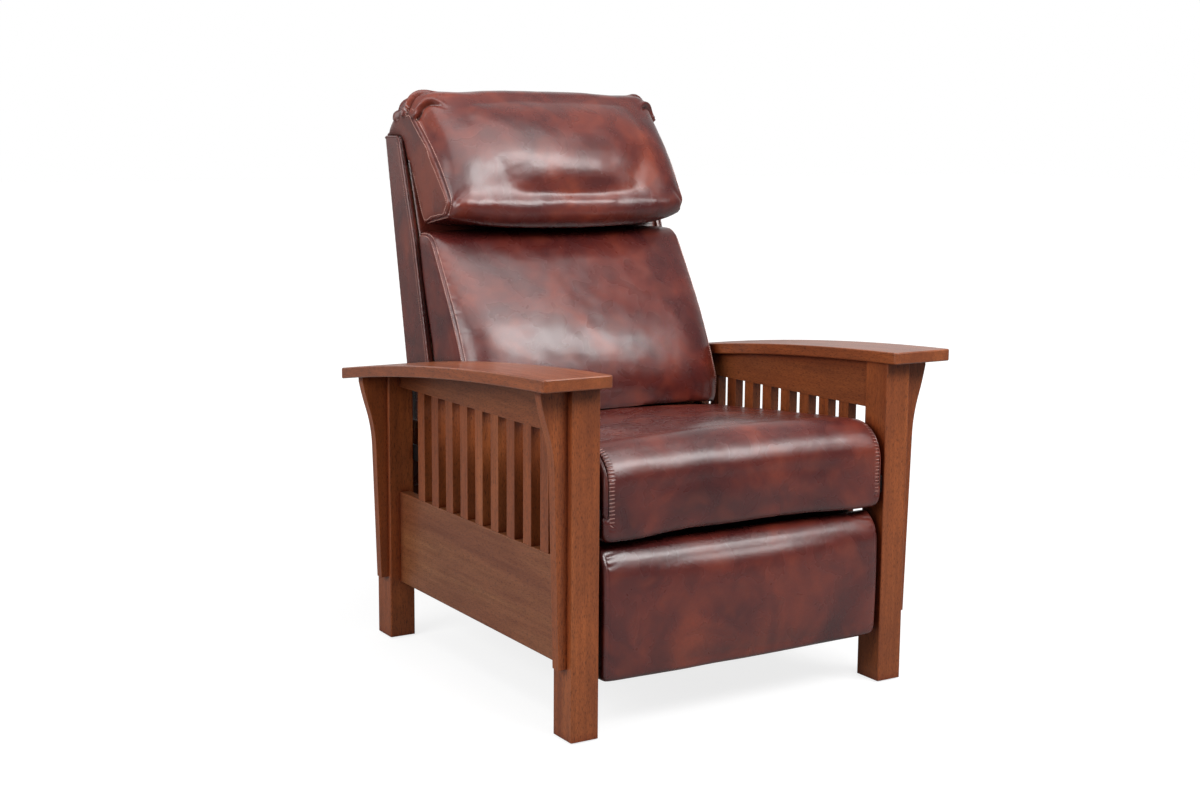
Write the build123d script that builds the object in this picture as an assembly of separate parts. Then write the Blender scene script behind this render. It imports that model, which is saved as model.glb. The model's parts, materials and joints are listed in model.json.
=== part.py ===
from build123d import *
import math
import os

# Mission reclining armchair. X runs to the viewer's right when facing the chair,
# Y runs from its front to its back, Z is up. The origin lies on the floor under the
# middle of the whole chair. A depth is a distance behind the front legs' front face.

# Arm frame, wood
frame_half_width = 346.5
leg_width = 51.5
leg_depth = 58.5
frame_depth = 748.0
leg_edge_radius = 2.5
arm_width = 127.0
arm_inner_half = 288.0
arm_thickness = 21.0
arm_front_top = 603.0
arm_rear_top = 529.0
arm_bow = 12.0
arm_front_overhang = 28.0
arm_rear_overhang = 9.0
arm_corner_radius = 7.0
arm_edge_radius = 2.5
rail_bottom = 495.0
panel_bottom = 111.5
panel_top = 290.0
panel_thickness = 20.0
panel_recess = 22.5
panel_edge_radius = 2.0
slat_count = 9
slat_width = 27.4
slat_thickness = 18.4
slat_pitch = 58.2
slat_set_in = 0.5
slat_row_shift = 11.6

# Corbels, boards that stand on edge on the outer faces of the legs
corbel_thickness = 19.0
front_corbel_set_back = 15.0
rear_corbel_set_back = 8.0
corbel_bottom = 123.0
corbel_foot_reach = 15.5
corbel_shaft_reach = 23.5
corbel_swell_reach = 36.0
corbel_head_reach = 49.5
corbel_lip_drop = 10.0
corbel_swell_drop = 62.0
corbel_shaft_drop = 136.0

# Stretchers and glides
stretcher_thickness = 22.0
front_stretcher_depth = 350.0
front_stretcher_bottom = 125.0
front_stretcher_top = 185.0
rear_stretcher_inset = 34.5
rear_stretcher_bottom = 130.0
rear_stretcher_top = 300.0
glide_radius = 14.0
glide_thickness = 3.0

# Steel layers, counted inwards from the inner faces of the legs
steel_thickness = 4.0
layer_gap = 2.4
pin_radius = 4.0
pin_clearance = 0.1
head_radius = 7.0
head_thickness = 1.6
running_gap = 0.3
link_radius = 11.0
lug_radius = 16.0
hole_radius = pin_radius + pin_clearance

# Base rails and swing links
base_rail_bottom = 350.0
base_rail_top = 380.0
base_rail_end_inset = 6.0
bolt_radius = 4.0
bolt_head_radius = 6.5
bolt_head_thickness = 2.0
bolt_grip = 30.0
swing_length = 110.0
swing_rest_angle = 10.0
front_swing_depth = 110.0
rear_swing_depth = 500.0
swing_pivot_height = 365.0

# Footrest linkage
rear_link_pivot_depth = 240.0
rear_link_pivot_height = 307.0
front_link_pivot_depth = 140.0
front_link_pivot_height = 320.0
long_arm = 212.0
rear_link_rest_angle = -104.0
parallel_spacing = 69.0
footrest_pivot_depth = 88.0
footrest_pivot_height = 190.0
cross_tube_radius = 9.0
cross_tube_wall = 1.5
cross_tube_share = 0.6

# Seat frame and seat cushion
seat_rail_width = 32.0
seat_rail_bottom = 355.0
seat_rail_top = 393.0
seat_front_rail_depth = 67.0
seat_front_rail_bottom = 335.0
seat_front_apron_bottom = 275.0
seat_front_apron_room = 6.0
seat_cross_rail_thickness = 25.0
seat_rear_rail_depth = 590.0
seat_plate_bar_bottom = 340.0
seat_plate_bar_top = 387.0
seat_plate_front_depth = 76.0
seat_plate_rear_depth = 612.0
seat_bolt_depths = (200.0, 300.0, 400.0, 596.0)
seat_bolt_height = 373.0
webbing_thickness = 1.2
webbing_width = 50.0
webbing_count = 5
webbing_lap = 18.0
seat_half_width = 288.5
seat_side_inset = 7.0
seat_side_band = 8.5
seat_front_depth = -5.0
seat_rear_depth = 618.0
seat_lip_depth = 60.0
seat_lip_bottom = 330.0
seat_under = 394.6
seat_front_top = 476.0
seat_front_roll = 62.0
seat_rear_top = 433.0
seat_crown = 11.0
seat_lip_radius = 14.0

# Back frame and its covers
hinge_depth = 640.0
hinge_height = 345.0
post_width = 26.0
post_foot_height = 327.0
post_front_foot_depth = 632.0
post_foot_thickness = 34.0
back_rail_thickness = 22.0
back_rail_height = 48.0
back_mid_rail_height = 780.0
back_low_rail_bottom = 455.0
bracket_top = 418.0
bracket_radius = 18.0
back_bolt_heights = (382.0, 404.0)
shell_half_width = 285.0
shell_bottom = 424.0
shell_top = 966.0
shell_rear_wall = 6.0
shell_rear_low_depth = 722.0
shell_rear_top_depth = 831.0
shell_low_thickness = 86.0
shell_waist_thickness = 102.1
shell_front_waist_height = 544.0
shell_knee_thickness = 89.2
shell_front_knee_height = 768.0
shell_top_thickness = 63.0
shell_corner_radius = 7.0
shell_skirt_bottom = 292.0
shell_skirt_set_in = 2.0
back_webbing_count = 5
inside_back_thickness = 8.0

# Back cushion
back_half_width = 280.0
back_side_inset = 7.0
back_side_band = 10.0
back_chin_thickness = 149.6
back_chin_rise = 10.5
back_heel_gap = 34.0
back_parting_height = 700.0
back_heel_clearance = 5.5
back_brow_rise = 45.0
back_belly_thickness = 114.0
back_belly_height = 633.0
back_crest_thickness = 71.1
back_crest_drop = 48.0
back_top_thickness = 42.7
back_top_drop = 24.0
back_crown = 36.0
back_crown_rise = 4.0

# Head pillow, its flat ends turned in towards the front
pillow_half_width = 283.0
pillow_toe_in = 19.0
pillow_side_band = 2.0
pillow_drop = 154.0
pillow_heel_thickness = 26.7
pillow_heel_drop = 9.0
pillow_heel_sag = 8.0
pillow_chin_thickness = 91.7
pillow_chin_rise = 6.0
pillow_chin_sag = 23.0
pillow_nose_thickness = 132.0
pillow_nose_rise = 34.0
pillow_face_thickness = 93.3
pillow_face_rise = 128.0
pillow_face_share = 1.1
pillow_top_setback = 96.0
pillow_top_rise = 200.0
pillow_nape_setback = 31.0
pillow_nape_rise = 191.0
pillow_rear_setback = 2.0
pillow_crown = 42.0
pillow_crown_rise = 45.0
pillow_rear_crown = 8.0

# Footrest
pad_half_width = 286.0
pad_side_inset = 6.0
pad_side_band = 7.0
pad_front_depth = -1.0
pad_rear_depth = 39.0
pad_bottom = 92.0
pad_top = 316.0
pad_top_radius = 24.0
pad_bottom_radius = 9.0
pad_crown = 6.0
board_thickness = 12.0
board_margin = 12.0
bracket_flange_width = 30.0
bracket_flange_thickness = 2.0
bracket_ear_radius = 11.0
screw_radius = 2.5
screw_head_radius = 5.0
screw_head_thickness = 1.5
screw_grip = 10.0
screw_margin = 14.0

# How much of a cushion's crown is left at these shares of its half width
crown_shares = ((0, 1), (0.45, 0.96), (0.76, 0.78), (0.92, 0.46), (1, 0))
pillow_crown_shares = ((0, 1), (0.45, 0.96), (0.76, 0.8), (0.92, 0.52), (1, 0))

# One overrun for every cut
overrun = 40.0

# How far the head pillow reaches behind the front legs settles the middle of the chair
back_reach = shell_rear_top_depth - pillow_rear_setback + pillow_rear_crown
leg_front_y = -(back_reach - arm_front_overhang) / 2
leg_inner_half = frame_half_width - leg_width
pillow_bottom = shell_top - pillow_drop


def at_depth(depth):
    return leg_front_y + depth


def layer(number):
    # inner face of a steel layer, layer 0 lying against the legs
    return leg_inner_half - steel_thickness - number * (steel_thickness + layer_gap)


base_layer = layer(0)
swing_layer = layer(1)
plate_layer = layer(2)
link_layer = layer(3)
inner_layer = layer(4)
post_outer_half = link_layer


def turned(length, angle):
    # a step forward and up, as (depth, height)
    forward = length * math.cos(math.radians(angle))
    return (-forward, length * math.sin(math.radians(angle)))


def moved(place, step):
    return (place[0] + step[0], place[1] + step[1])


# Pivots in the side view, as (depth, height)
swing_step = turned(swing_length, swing_rest_angle - 90)
front_swing_top = (front_swing_depth, swing_pivot_height)
rear_swing_top = (rear_swing_depth, swing_pivot_height)
front_swing_foot = moved(front_swing_top, swing_step)
rear_swing_foot = moved(rear_swing_top, swing_step)
rear_link_pivot = (rear_link_pivot_depth, rear_link_pivot_height)
front_link_pivot = (front_link_pivot_depth, front_link_pivot_height)
knee = moved(rear_link_pivot, turned(long_arm, rear_link_rest_angle))
crossing = moved(front_link_pivot, turned(long_arm, rear_link_rest_angle))
spacing_step = turned(-parallel_spacing, rear_link_rest_angle)
short_link_foot = moved(crossing, spacing_step)
footrest_low_pivot = (footrest_pivot_depth, footrest_pivot_height)
footrest_high_pivot = moved(footrest_low_pivot, spacing_step)
back_hinge = (hinge_depth, hinge_height)


def side_point(place):
    # a place in the side view, as a point of a sketch on the YZ plane
    return (at_depth(place[0]), place[1])


def side_extrude(face, inner, thickness):
    return extrude(Plane.YZ.offset(inner) * face, thickness)


def side_box(half_from, half_to, depth_from, depth_to, low, high):
    size = (half_to - half_from, depth_to - depth_from, high - low)
    centre = ((half_to + half_from) / 2, at_depth((depth_to + depth_from) / 2), (high + low) / 2)
    return Pos(*centre) * Box(*size)


def left_and_right(piece):
    return mirror(piece, Plane.YZ), piece


def outline(*edges):
    return make_face(Wire(list(edges)))


def save(name, *solids):
    shape = solids[0] if len(solids) == 1 else Compound(children=list(solids))
    export_step(shape, f"parts/{name}.step")


# The arm's bowed line in the side view
def arm_line(drop):
    front = (at_depth(-arm_front_overhang), arm_front_top - drop)
    rear = (at_depth(frame_depth + arm_rear_overhang), arm_rear_top - drop)
    middle = ((front[0] + rear[0]) / 2, (front[1] + rear[1]) / 2 + arm_bow)
    return front, middle, rear


def above_arm_line():
    front, middle, rear = arm_line(arm_thickness)
    high = arm_front_top + overrun
    face = outline(
        ThreePointArc(front, middle, rear),
        Line(rear, (rear[0], high)),
        Line((rear[0], high), (front[0], high)),
        Line((front[0], high), front),
    )
    return side_extrude(face, -frame_half_width - arm_width, 2 * (frame_half_width + arm_width))


def arm_underside(depth):
    # height of the arm's underside at a depth, on the circle through its three points
    front, middle, rear = arm_line(arm_thickness)
    share = (at_depth(depth) - front[0]) / (rear[0] - front[0])
    return front[1] + (rear[1] - front[1]) * share + arm_bow * (1 - (2 * share - 1) ** 2)


def arm():
    front, middle, rear = arm_line(0)
    low_front, low_middle, low_rear = arm_line(arm_thickness)
    face = outline(
        ThreePointArc(front, middle, rear),
        Line(rear, low_rear),
        ThreePointArc(low_rear, low_middle, low_front),
        Line(low_front, front),
    )
    board = side_extrude(face, arm_inner_half, arm_width)
    corners = board.edges().filter_by(Axis.Z)
    board = fillet(corners, arm_corner_radius)
    top = board.faces().sort_by(Axis.Z)[-1]
    return fillet(top.edges(), arm_edge_radius)


def leg(depth):
    low = glide_thickness
    post = side_box(leg_inner_half, frame_half_width, depth, depth + leg_depth, low, arm_front_top)
    post = fillet(post.edges().filter_by(Axis.Z), leg_edge_radius)
    bolt = bolt_bore(leg_bolt_depth(depth), (base_rail_bottom + base_rail_top) / 2)
    return post - above_arm_line() - bolt


def leg_bolt_depth(depth):
    return depth + leg_depth / 2


def bolt_bore(depth, height):
    centre = Plane.YZ.offset(base_layer) * Pos(at_depth(depth), height)
    return extrude(centre * Circle(bolt_radius), steel_thickness + bolt_grip)


def panel_outer_half():
    return frame_half_width - panel_recess


def top_rail():
    outer = panel_outer_half()
    rail = side_box(
        outer - panel_thickness, outer, leg_depth, frame_depth - leg_depth, rail_bottom, arm_front_top
    )
    return rail - above_arm_line()


def side_panel():
    outer = panel_outer_half()
    panel = side_box(
        outer - panel_thickness, outer, leg_depth, frame_depth - leg_depth, panel_bottom, panel_top
    )
    long_edges = panel.edges().filter_by(Axis.Y).group_by(Axis.X)[-1]
    return fillet(long_edges, panel_edge_radius)


def slats():
    outer = panel_outer_half() - slat_set_in
    # the row stands a little forward of the middle between the legs
    middle = frame_depth / 2 - slat_row_shift
    first = middle - (slat_count - 1) * slat_pitch / 2
    row = []
    for number in range(slat_count):
        centre = first + number * slat_pitch
        row.append(
            side_box(
                outer - slat_thickness,
                outer,
                centre - slat_width / 2,
                centre + slat_width / 2,
                panel_top,
                rail_bottom,
            )
        )
    return row


def corbel(near):
    # an outline in the front view, swelling out under the arm in two arcs
    top = arm_underside(near)
    inner = frame_half_width
    foot = (inner + corbel_foot_reach, corbel_bottom)
    shaft = (inner + corbel_shaft_reach, top - corbel_shaft_drop)
    swell = (inner + corbel_swell_reach, top - corbel_swell_drop)
    lip = (inner + corbel_head_reach, top - corbel_lip_drop)
    peak = (inner + corbel_head_reach, top + overrun / 2)
    rise = (shaft[0] - foot[0], shaft[1] - foot[1])
    hollow = TangentArc(shaft, swell, tangent=rise)
    face = outline(
        Line((inner, corbel_bottom), foot),
        Line(foot, shaft),
        hollow,
        TangentArc(swell, lip, tangent=hollow % 1),
        Line(lip, peak),
        Line(peak, (inner, peak[1])),
        Line((inner, peak[1]), (inner, corbel_bottom)),
    )
    front = Plane(origin=(0, at_depth(near), 0), x_dir=(1, 0, 0), z_dir=(0, -1, 0))
    board = extrude(front * face, -corbel_thickness)
    return board - above_arm_line()


def stretcher(half, depth, low, high):
    return side_box(-half, half, depth, depth + stretcher_thickness, low, high)


def floor_glides():
    pads = []
    for depth in (leg_depth / 2, frame_depth - leg_depth / 2):
        for side in (-1, 1):
            x = side * (frame_half_width - leg_width / 2)
            centre = Pos(x, at_depth(depth), glide_thickness / 2)
            pads.append(centre * Cylinder(glide_radius, glide_thickness))
    return pads


# Pins and rivets lie along X, their sizes counted inwards and outwards from the layers
def disc(place, radius, inner, outer):
    centre = Plane.YZ.offset(inner) * Pos(*side_point(place))
    return extrude(centre * Circle(radius), outer - inner)


def rivet(place, fixed_layer, moving_layer):
    # tight in the piece at the fixed layer, free in the piece at the moving layer
    step = 1 if moving_layer > fixed_layer else -1
    fixed_far = fixed_layer if step > 0 else fixed_layer + steel_thickness
    fixed_near = fixed_layer + steel_thickness if step > 0 else fixed_layer
    moving_near = moving_layer if step > 0 else moving_layer + steel_thickness
    moving_far = moving_layer + steel_thickness if step > 0 else moving_layer
    stations = [
        (fixed_far - step * head_thickness, fixed_far, head_radius),
        (fixed_far, fixed_near, pin_radius),
        (fixed_near, moving_near - step * running_gap, head_radius),
        (moving_near - step * running_gap, moving_far + step * running_gap, pin_radius),
        (moving_far + step * running_gap, moving_far + step * (running_gap + head_thickness), head_radius),
    ]
    parts = [disc(place, radius, min(a, b), max(a, b)) for a, b, radius in stations]
    solid = parts[0]
    for piece in parts[1:]:
        solid = solid + piece
    return solid


def strap(places, radius):
    # a flat link as a chain of round-ended bars through its pivots
    face = None
    for start, end in zip(places[:-1], places[1:]):
        a = Vector(*side_point(start))
        b = Vector(*side_point(end))
        bar = SlotCenterToCenter((b - a).length, 2 * radius)
        angle = math.degrees(math.atan2(b.Y - a.Y, b.X - a.X))
        bar = Pos((a.X + b.X) / 2, (a.Y + b.Y) / 2) * Rot(0, 0, angle) * bar
        face = bar if face is None else face + bar
    return face


def pierced(face, tight, free):
    for place in tight:
        face = face - Pos(*side_point(place)) * Circle(pin_radius)
    for place in free:
        face = face - Pos(*side_point(place)) * Circle(hole_radius)
    return face


def link(inner, places, tight=(), free=()):
    return side_extrude(pierced(strap(places, link_radius), tight, free), inner, steel_thickness)


def base_rail():
    rail = side_box(
        base_layer,
        base_layer + steel_thickness,
        base_rail_end_inset,
        frame_depth - base_rail_end_inset,
        base_rail_bottom,
        base_rail_top,
    )
    for depth in (0, frame_depth - leg_depth):
        rail = rail - bolt_bore(leg_bolt_depth(depth), (base_rail_bottom + base_rail_top) / 2)
    for place in (front_swing_top, rear_swing_top):
        rail = rail - disc(place, pin_radius, base_layer, base_layer + steel_thickness)
    return rail


def base_bolts():
    bolts = []
    for depth in (0, frame_depth - leg_depth):
        place = (leg_bolt_depth(depth), (base_rail_bottom + base_rail_top) / 2)
        shank = disc(place, bolt_radius, base_layer, base_layer + steel_thickness + bolt_grip)
        head = disc(place, bolt_head_radius, base_layer - bolt_head_thickness, base_layer)
        bolts.extend(left_and_right(shank + head))
    return bolts


def pairs(*solids):
    group = []
    for solid in solids:
        group.extend(left_and_right(solid))
    return group


def seat_plate():
    low = seat_plate_bar_bottom
    high = seat_plate_bar_top
    middle = (low + high) / 2
    length = seat_plate_rear_depth - seat_plate_front_depth
    centre = (seat_plate_front_depth + length / 2, middle)
    face = Pos(*side_point(centre)) * Rectangle(length, high - low)
    lugs = (
        (front_swing_foot, front_swing_top[0]),
        (rear_swing_foot, rear_swing_top[0]),
        (rear_link_pivot, rear_link_pivot[0]),
        (front_link_pivot, front_link_pivot[0]),
        (back_hinge, seat_plate_rear_depth - lug_radius),
    )
    for place, root in lugs:
        face = face + strap([place, (root, middle)], lug_radius)
    tight = (front_swing_foot, rear_swing_foot, rear_link_pivot, front_link_pivot, back_hinge)
    plate = side_extrude(pierced(face, tight, ()), plate_layer, steel_thickness)
    for depth in seat_bolt_depths:
        place = (depth, seat_bolt_height)
        plate = plate - disc(place, bolt_radius, plate_layer, plate_layer + steel_thickness)
    return plate


def seat_side_rail():
    rail = side_box(
        plate_layer - seat_rail_width,
        plate_layer,
        seat_front_rail_depth + seat_cross_rail_thickness,
        seat_rear_rail_depth + seat_cross_rail_thickness,
        seat_rail_bottom,
        seat_rail_top,
    )
    for depth in seat_bolt_depths:
        place = (depth, seat_bolt_height)
        rail = rail - disc(place, bolt_radius, plate_layer - seat_rail_width, plate_layer)
    return rail


def seat_cross_rail(half, depth, low):
    return side_box(-half, half, depth, depth + seat_cross_rail_thickness, low, seat_rail_top)


def seat_front_rail():
    # the front rail and the apron under it, which hangs between the footrest links
    rail = seat_cross_rail(plate_layer, seat_front_rail_depth, seat_front_rail_bottom)
    half = inner_layer - seat_front_apron_room
    near = seat_front_rail_depth
    far = near + seat_cross_rail_thickness
    return rail + side_box(-half, half, near, far, seat_front_apron_bottom, seat_front_rail_bottom)


def seat_bolts():
    bolts = []
    for depth in seat_bolt_depths:
        place = (depth, seat_bolt_height)
        shank = disc(place, bolt_radius, plate_layer - seat_rail_width, plate_layer + steel_thickness)
        outer = plate_layer + steel_thickness
        head = disc(place, bolt_head_radius, outer, outer + bolt_head_thickness)
        bolts.extend(left_and_right(shank + head))
    return bolts


def seat_webbing():
    # straps from the front rail to the rear rail, lying on both
    near = seat_front_rail_depth + seat_cross_rail_thickness - webbing_lap
    far = seat_rear_rail_depth + webbing_lap
    span = 2 * (plate_layer - seat_rail_width)
    pitch = span / webbing_count
    straps = []
    for number in range(webbing_count):
        x = (number - (webbing_count - 1) / 2) * pitch
        straps.append(
            side_box(
                x - webbing_width / 2,
                x + webbing_width / 2,
                near,
                far,
                seat_rail_top,
                seat_rail_top + webbing_thickness,
            )
        )
    return straps


def rounded_corner(level, upright):
    # the middle of a quarter turn from a level line's end to an upright line's end
    share = 1 - math.sqrt(2) / 2
    return (upright[0] + share * (level[0] - upright[0]), level[1] + share * (upright[1] - level[1]))


# Cushions are lofted from side to side through outlines in the side view
def seat_profile(inset, crown):
    rise = seat_crown * crown
    front = seat_front_depth + inset
    roll = (front + seat_front_roll, seat_front_top - inset + rise)
    brow = (front, seat_front_top - seat_front_roll)
    rear = seat_rear_depth - inset
    turn = seat_front_roll * (1 - math.sqrt(2) / 2)
    under = seat_under + inset
    low = seat_lip_bottom + inset
    lip = seat_lip_depth - inset
    heel = (front + seat_lip_radius, low)
    chin = (front, low + seat_lip_radius)
    tuck = seat_lip_radius * (1 - math.sqrt(2) / 2)
    points = [
        (rear, under),
        (rear, seat_rear_top - inset + rise / 2),
        roll,
        (front + turn, seat_front_top - inset + rise - turn),
        brow,
        chin,
        (front + tuck, low + tuck),
        heel,
        (lip, low),
        (lip, under),
    ]
    p = [side_point(place) for place in points]
    return outline(
        Line(p[0], p[1]),
        Line(p[1], p[2]),
        ThreePointArc(p[2], p[3], p[4]),
        Line(p[4], p[5]),
        ThreePointArc(p[5], p[6], p[7]),
        Line(p[7], p[8]),
        Line(p[8], p[9]),
        Line(p[9], p[0]),
    )


# Back frame: a wedge in the side view, narrow at the top
def back_rear_depth(height):
    share = (height - shell_bottom) / (shell_top - shell_bottom)
    return shell_rear_low_depth + share * (shell_rear_top_depth - shell_rear_low_depth)


def shell_front_places():
    corners = (
        (shell_bottom, shell_low_thickness),
        (shell_front_waist_height, shell_waist_thickness),
        (shell_front_knee_height, shell_knee_thickness),
        (shell_top, shell_top_thickness),
    )
    return [(back_rear_depth(height) - thickness, height) for height, thickness in corners]


def shell_front_depth(height):
    places = shell_front_places()
    for (near, low), (far, high) in zip(places[:-1], places[1:]):
        if height <= high:
            break
    return near + (far - near) * (height - low) / (high - low)


def before_shell(thickness, height):
    # a place in front of the shell's front line
    return (shell_front_depth(height) - thickness, height)


def back_profile(inset, crown):
    bulge = back_crown * crown
    rise = back_crown_rise * crown
    lift = inset + seat_crown * crown
    low = seat_rear_top + back_heel_clearance
    heel = moved(before_shell(back_heel_gap, low), (-inset, (lift + inset) / 2))
    chin = moved(before_shell(back_chin_thickness, low + back_chin_rise), (inset - bulge, lift))
    brow = (chin[0] - inset / 2, low + back_chin_rise + back_brow_rise + inset)
    belly = moved(before_shell(back_belly_thickness, back_belly_height), (inset - bulge, 0))
    crest = before_shell(back_crest_thickness, pillow_bottom - back_crest_drop)
    crest = moved(crest, (inset - bulge / 2, rise / 2))
    top = moved(before_shell(back_top_thickness, pillow_bottom - back_top_drop), (0, rise - inset))
    shoulder = (crest[0] + (top[0] - crest[0]) / 3, crest[1] + (top[1] - crest[1]) * 2 / 3)
    # the cushion leaves the shell's front line at the parting and leans forward below it
    parting = moved(before_shell(0, back_parting_height), (-inset, 0))
    top_rear = (shell_front_places()[2][0] - inset, top[1])
    points = [heel, chin, brow, belly, crest, shoulder, top, top_rear, parting]
    p = [side_point(place) for place in points]
    return outline(
        Line(p[0], p[1]),
        Line(p[1], p[2]),
        ThreePointArc(p[2], p[3], p[4]),
        ThreePointArc(p[4], p[5], p[6]),
        Line(p[6], p[7]),
        Line(p[7], p[8]),
        Line(p[8], p[0]),
    )


def pillow_profile(crown):
    bulge = pillow_crown * crown
    rise = pillow_crown_rise * math.sqrt(crown)
    rest_depth = shell_front_depth(pillow_bottom)
    heel = (rest_depth - pillow_heel_thickness, pillow_bottom - pillow_heel_drop - pillow_heel_sag * crown)
    chin = (
        rest_depth - pillow_chin_thickness - bulge / 2,
        pillow_bottom + pillow_chin_rise - pillow_chin_sag * crown**2,
    )
    nose = moved(pillow_nose(), (-bulge, 0))
    face = before_shell(pillow_face_thickness, pillow_bottom + pillow_face_rise)
    face = moved(face, (-bulge * pillow_face_share, rise / 4))
    top = (shell_rear_top_depth - pillow_top_setback - bulge / 2, pillow_bottom + pillow_top_rise + rise)
    nape = (shell_rear_top_depth - pillow_nape_setback, pillow_bottom + pillow_nape_rise + rise * 3 / 4)
    rear = (shell_rear_top_depth - pillow_rear_setback + pillow_rear_crown * crown, shell_top)
    rest = (shell_front_depth(shell_top), shell_top)
    jowl = rounded_corner(chin, nose)
    p = [side_point(place) for place in (heel, chin, jowl, nose, face, top, nape, rear, rest)]
    return outline(
        Line(p[0], p[1]),
        ThreePointArc(p[1], p[2], p[3]),
        ThreePointArc(p[3], p[4], p[5]),
        ThreePointArc(p[5], p[6], p[7]),
        Line(p[7], p[8]),
        Line(p[8], p[0]),
    )


def pillow_nose():
    return before_shell(pillow_nose_thickness, pillow_bottom + pillow_nose_rise)


def pad_profile(inset, crown):
    front = pad_front_depth + inset - pad_crown * crown
    low = pad_bottom + inset
    high = pad_top - inset
    roll = pad_top_radius * (1 - math.sqrt(2) / 2)
    turn = pad_bottom_radius * (1 - math.sqrt(2) / 2)
    belly = (front - pad_crown / 2, (low + high) / 2)
    points = [
        (pad_rear_depth, low),
        (pad_rear_depth, high),
        (front + pad_top_radius, high),
        (front + roll, high - roll),
        (front, high - pad_top_radius),
        belly,
        (front, low + pad_bottom_radius),
        (front + turn, low + turn),
        (front + pad_bottom_radius, low),
    ]
    p = [side_point(place) for place in points]
    return outline(
        Line(p[0], p[1]),
        Line(p[1], p[2]),
        ThreePointArc(p[2], p[3], p[4]),
        ThreePointArc(p[4], p[5], p[6]),
        ThreePointArc(p[6], p[7], p[8]),
        Line(p[8], p[0]),
    )


def crowned_body(profile, reach, shares):
    stations = [(-width, crown) for width, crown in reversed(shares[1:])] + list(shares)
    return loft([Plane.YZ.offset(reach * width) * profile(crown) for width, crown in stations])


def cushion(profile, half_width, band, inset):
    # a crowned body between two side bands that draw in towards their ends
    reach = half_width - band
    body = crowned_body(lambda crown: profile(0, crown), reach, crown_shares)
    edge = Plane.YZ.offset(reach) * profile(0, 0)
    end = Plane.YZ.offset(half_width) * profile(inset, 0)
    cap = loft([edge, end], ruled=True)
    return body + cap + mirror(cap, Plane.YZ)


def seat_cushion():
    return cushion(seat_profile, seat_half_width, seat_side_band, seat_side_inset)


def back_cushion():
    return cushion(back_profile, back_half_width, back_side_band, back_side_inset)


def head_pillow():
    # a crowned body between two flat ends, each cut on a slant
    nose_half = pillow_half_width - pillow_toe_in
    reach = nose_half - pillow_side_band
    body = crowned_body(pillow_profile, reach, pillow_crown_shares)
    end = side_extrude(pillow_profile(0), reach, pillow_half_width - reach)
    nose_y = at_depth(pillow_nose()[0])
    rear_y = at_depth(shell_rear_top_depth)
    spread = overrun * pillow_toe_in / (rear_y - nose_y)
    far = pillow_half_width + overrun
    corners = [
        (nose_half - spread, nose_y - overrun),
        (pillow_half_width + spread, rear_y + overrun),
        (far, rear_y + overrun),
        (far, nose_y - overrun),
    ]
    end = end - extrude(make_face(Polyline(*corners, close=True)), 2 * shell_top)
    return body + end + mirror(end, Plane.YZ)


def footrest_pad():
    return cushion(pad_profile, pad_half_width, pad_side_band, pad_side_inset)


# Back frame and its covers
def outside_back():
    # a leather shell over the sides, the top and the rear of the back frame
    wall = shell_half_width - post_outer_half
    rear_line = [(back_rear_depth(height), height) for height in (shell_top, shell_bottom)]
    places = [side_point(place) for place in shell_front_places() + rear_line]
    face = make_face(Polyline(*places, close=True))
    solid = side_extrude(face, -shell_half_width, 2 * shell_half_width)
    solid = fillet(solid.edges().filter_by(is_rear_side_edge), shell_corner_radius)
    rear = shell_rear_wall
    low = shell_bottom - overrun
    top = shell_top - rear
    near = shell_front_depth(shell_bottom) - overrun
    corners = [
        (near, low),
        (back_rear_depth(low) - rear, low),
        (back_rear_depth(top) - rear, top),
        (near, top),
    ]
    hollow = make_face(Polyline(*[side_point(place) for place in corners], close=True))
    solid = solid - side_extrude(hollow, wall - shell_half_width, 2 * (shell_half_width - wall))
    return solid + shell_skirt()


def shell_skirt():
    # below the back frame the rear leather hangs on as a skirt
    half = shell_half_width - shell_skirt_set_in
    near = shell_rear_low_depth - shell_rear_wall
    return side_box(-half, half, near, shell_rear_low_depth, shell_skirt_bottom, shell_bottom)


def is_rear_side_edge(edge):
    middle = edge.center()
    on_side = abs(abs(middle.X) - shell_half_width) < running_gap
    rear_y = at_depth(back_rear_depth(middle.Z))
    return on_side and abs(middle.Y - rear_y) < running_gap


def post_front_depth(height):
    # the posts stand behind the padded inside back, which follows the shell's front line
    return shell_front_depth(height) + inside_back_thickness


def inside_back():
    # a thin padded panel across the front of the posts, between the shell's sides
    top = shell_top - shell_rear_wall
    heights = (shell_bottom, shell_front_waist_height, shell_front_knee_height, top)
    rear = [(post_front_depth(height), height) for height in heights]
    front = [(depth - inside_back_thickness, height) for depth, height in rear]
    points = [side_point(place) for place in front + rear[::-1]]
    face = make_face(Polyline(*points, close=True))
    return side_extrude(face, -post_outer_half, 2 * post_outer_half)


def back_post():
    top = shell_top - shell_rear_wall
    heights = (shell_bottom, shell_front_waist_height, shell_front_knee_height, top)
    points = [(post_front_foot_depth, post_foot_height)]
    points.extend((post_front_depth(height), height) for height in heights)
    points.append((back_rear_depth(top) - shell_rear_wall, top))
    points.append((back_rear_depth(shell_bottom) - shell_rear_wall, shell_bottom))
    points.append((post_front_foot_depth + post_foot_thickness, post_foot_height + lug_radius))
    points.append((post_front_foot_depth + post_foot_thickness, post_foot_height))
    face = make_face(Polyline(*[side_point(place) for place in points], close=True))
    post = side_extrude(face, post_outer_half - post_width, post_width)
    for height in back_bolt_heights:
        place = (hinge_depth, height)
        post = post - disc(place, bolt_radius, post_outer_half - post_width, post_outer_half)
    head_recess = head_thickness + 2 * running_gap
    return post - disc(back_hinge, bracket_radius / 2, post_outer_half - head_recess, post_outer_half)


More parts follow.
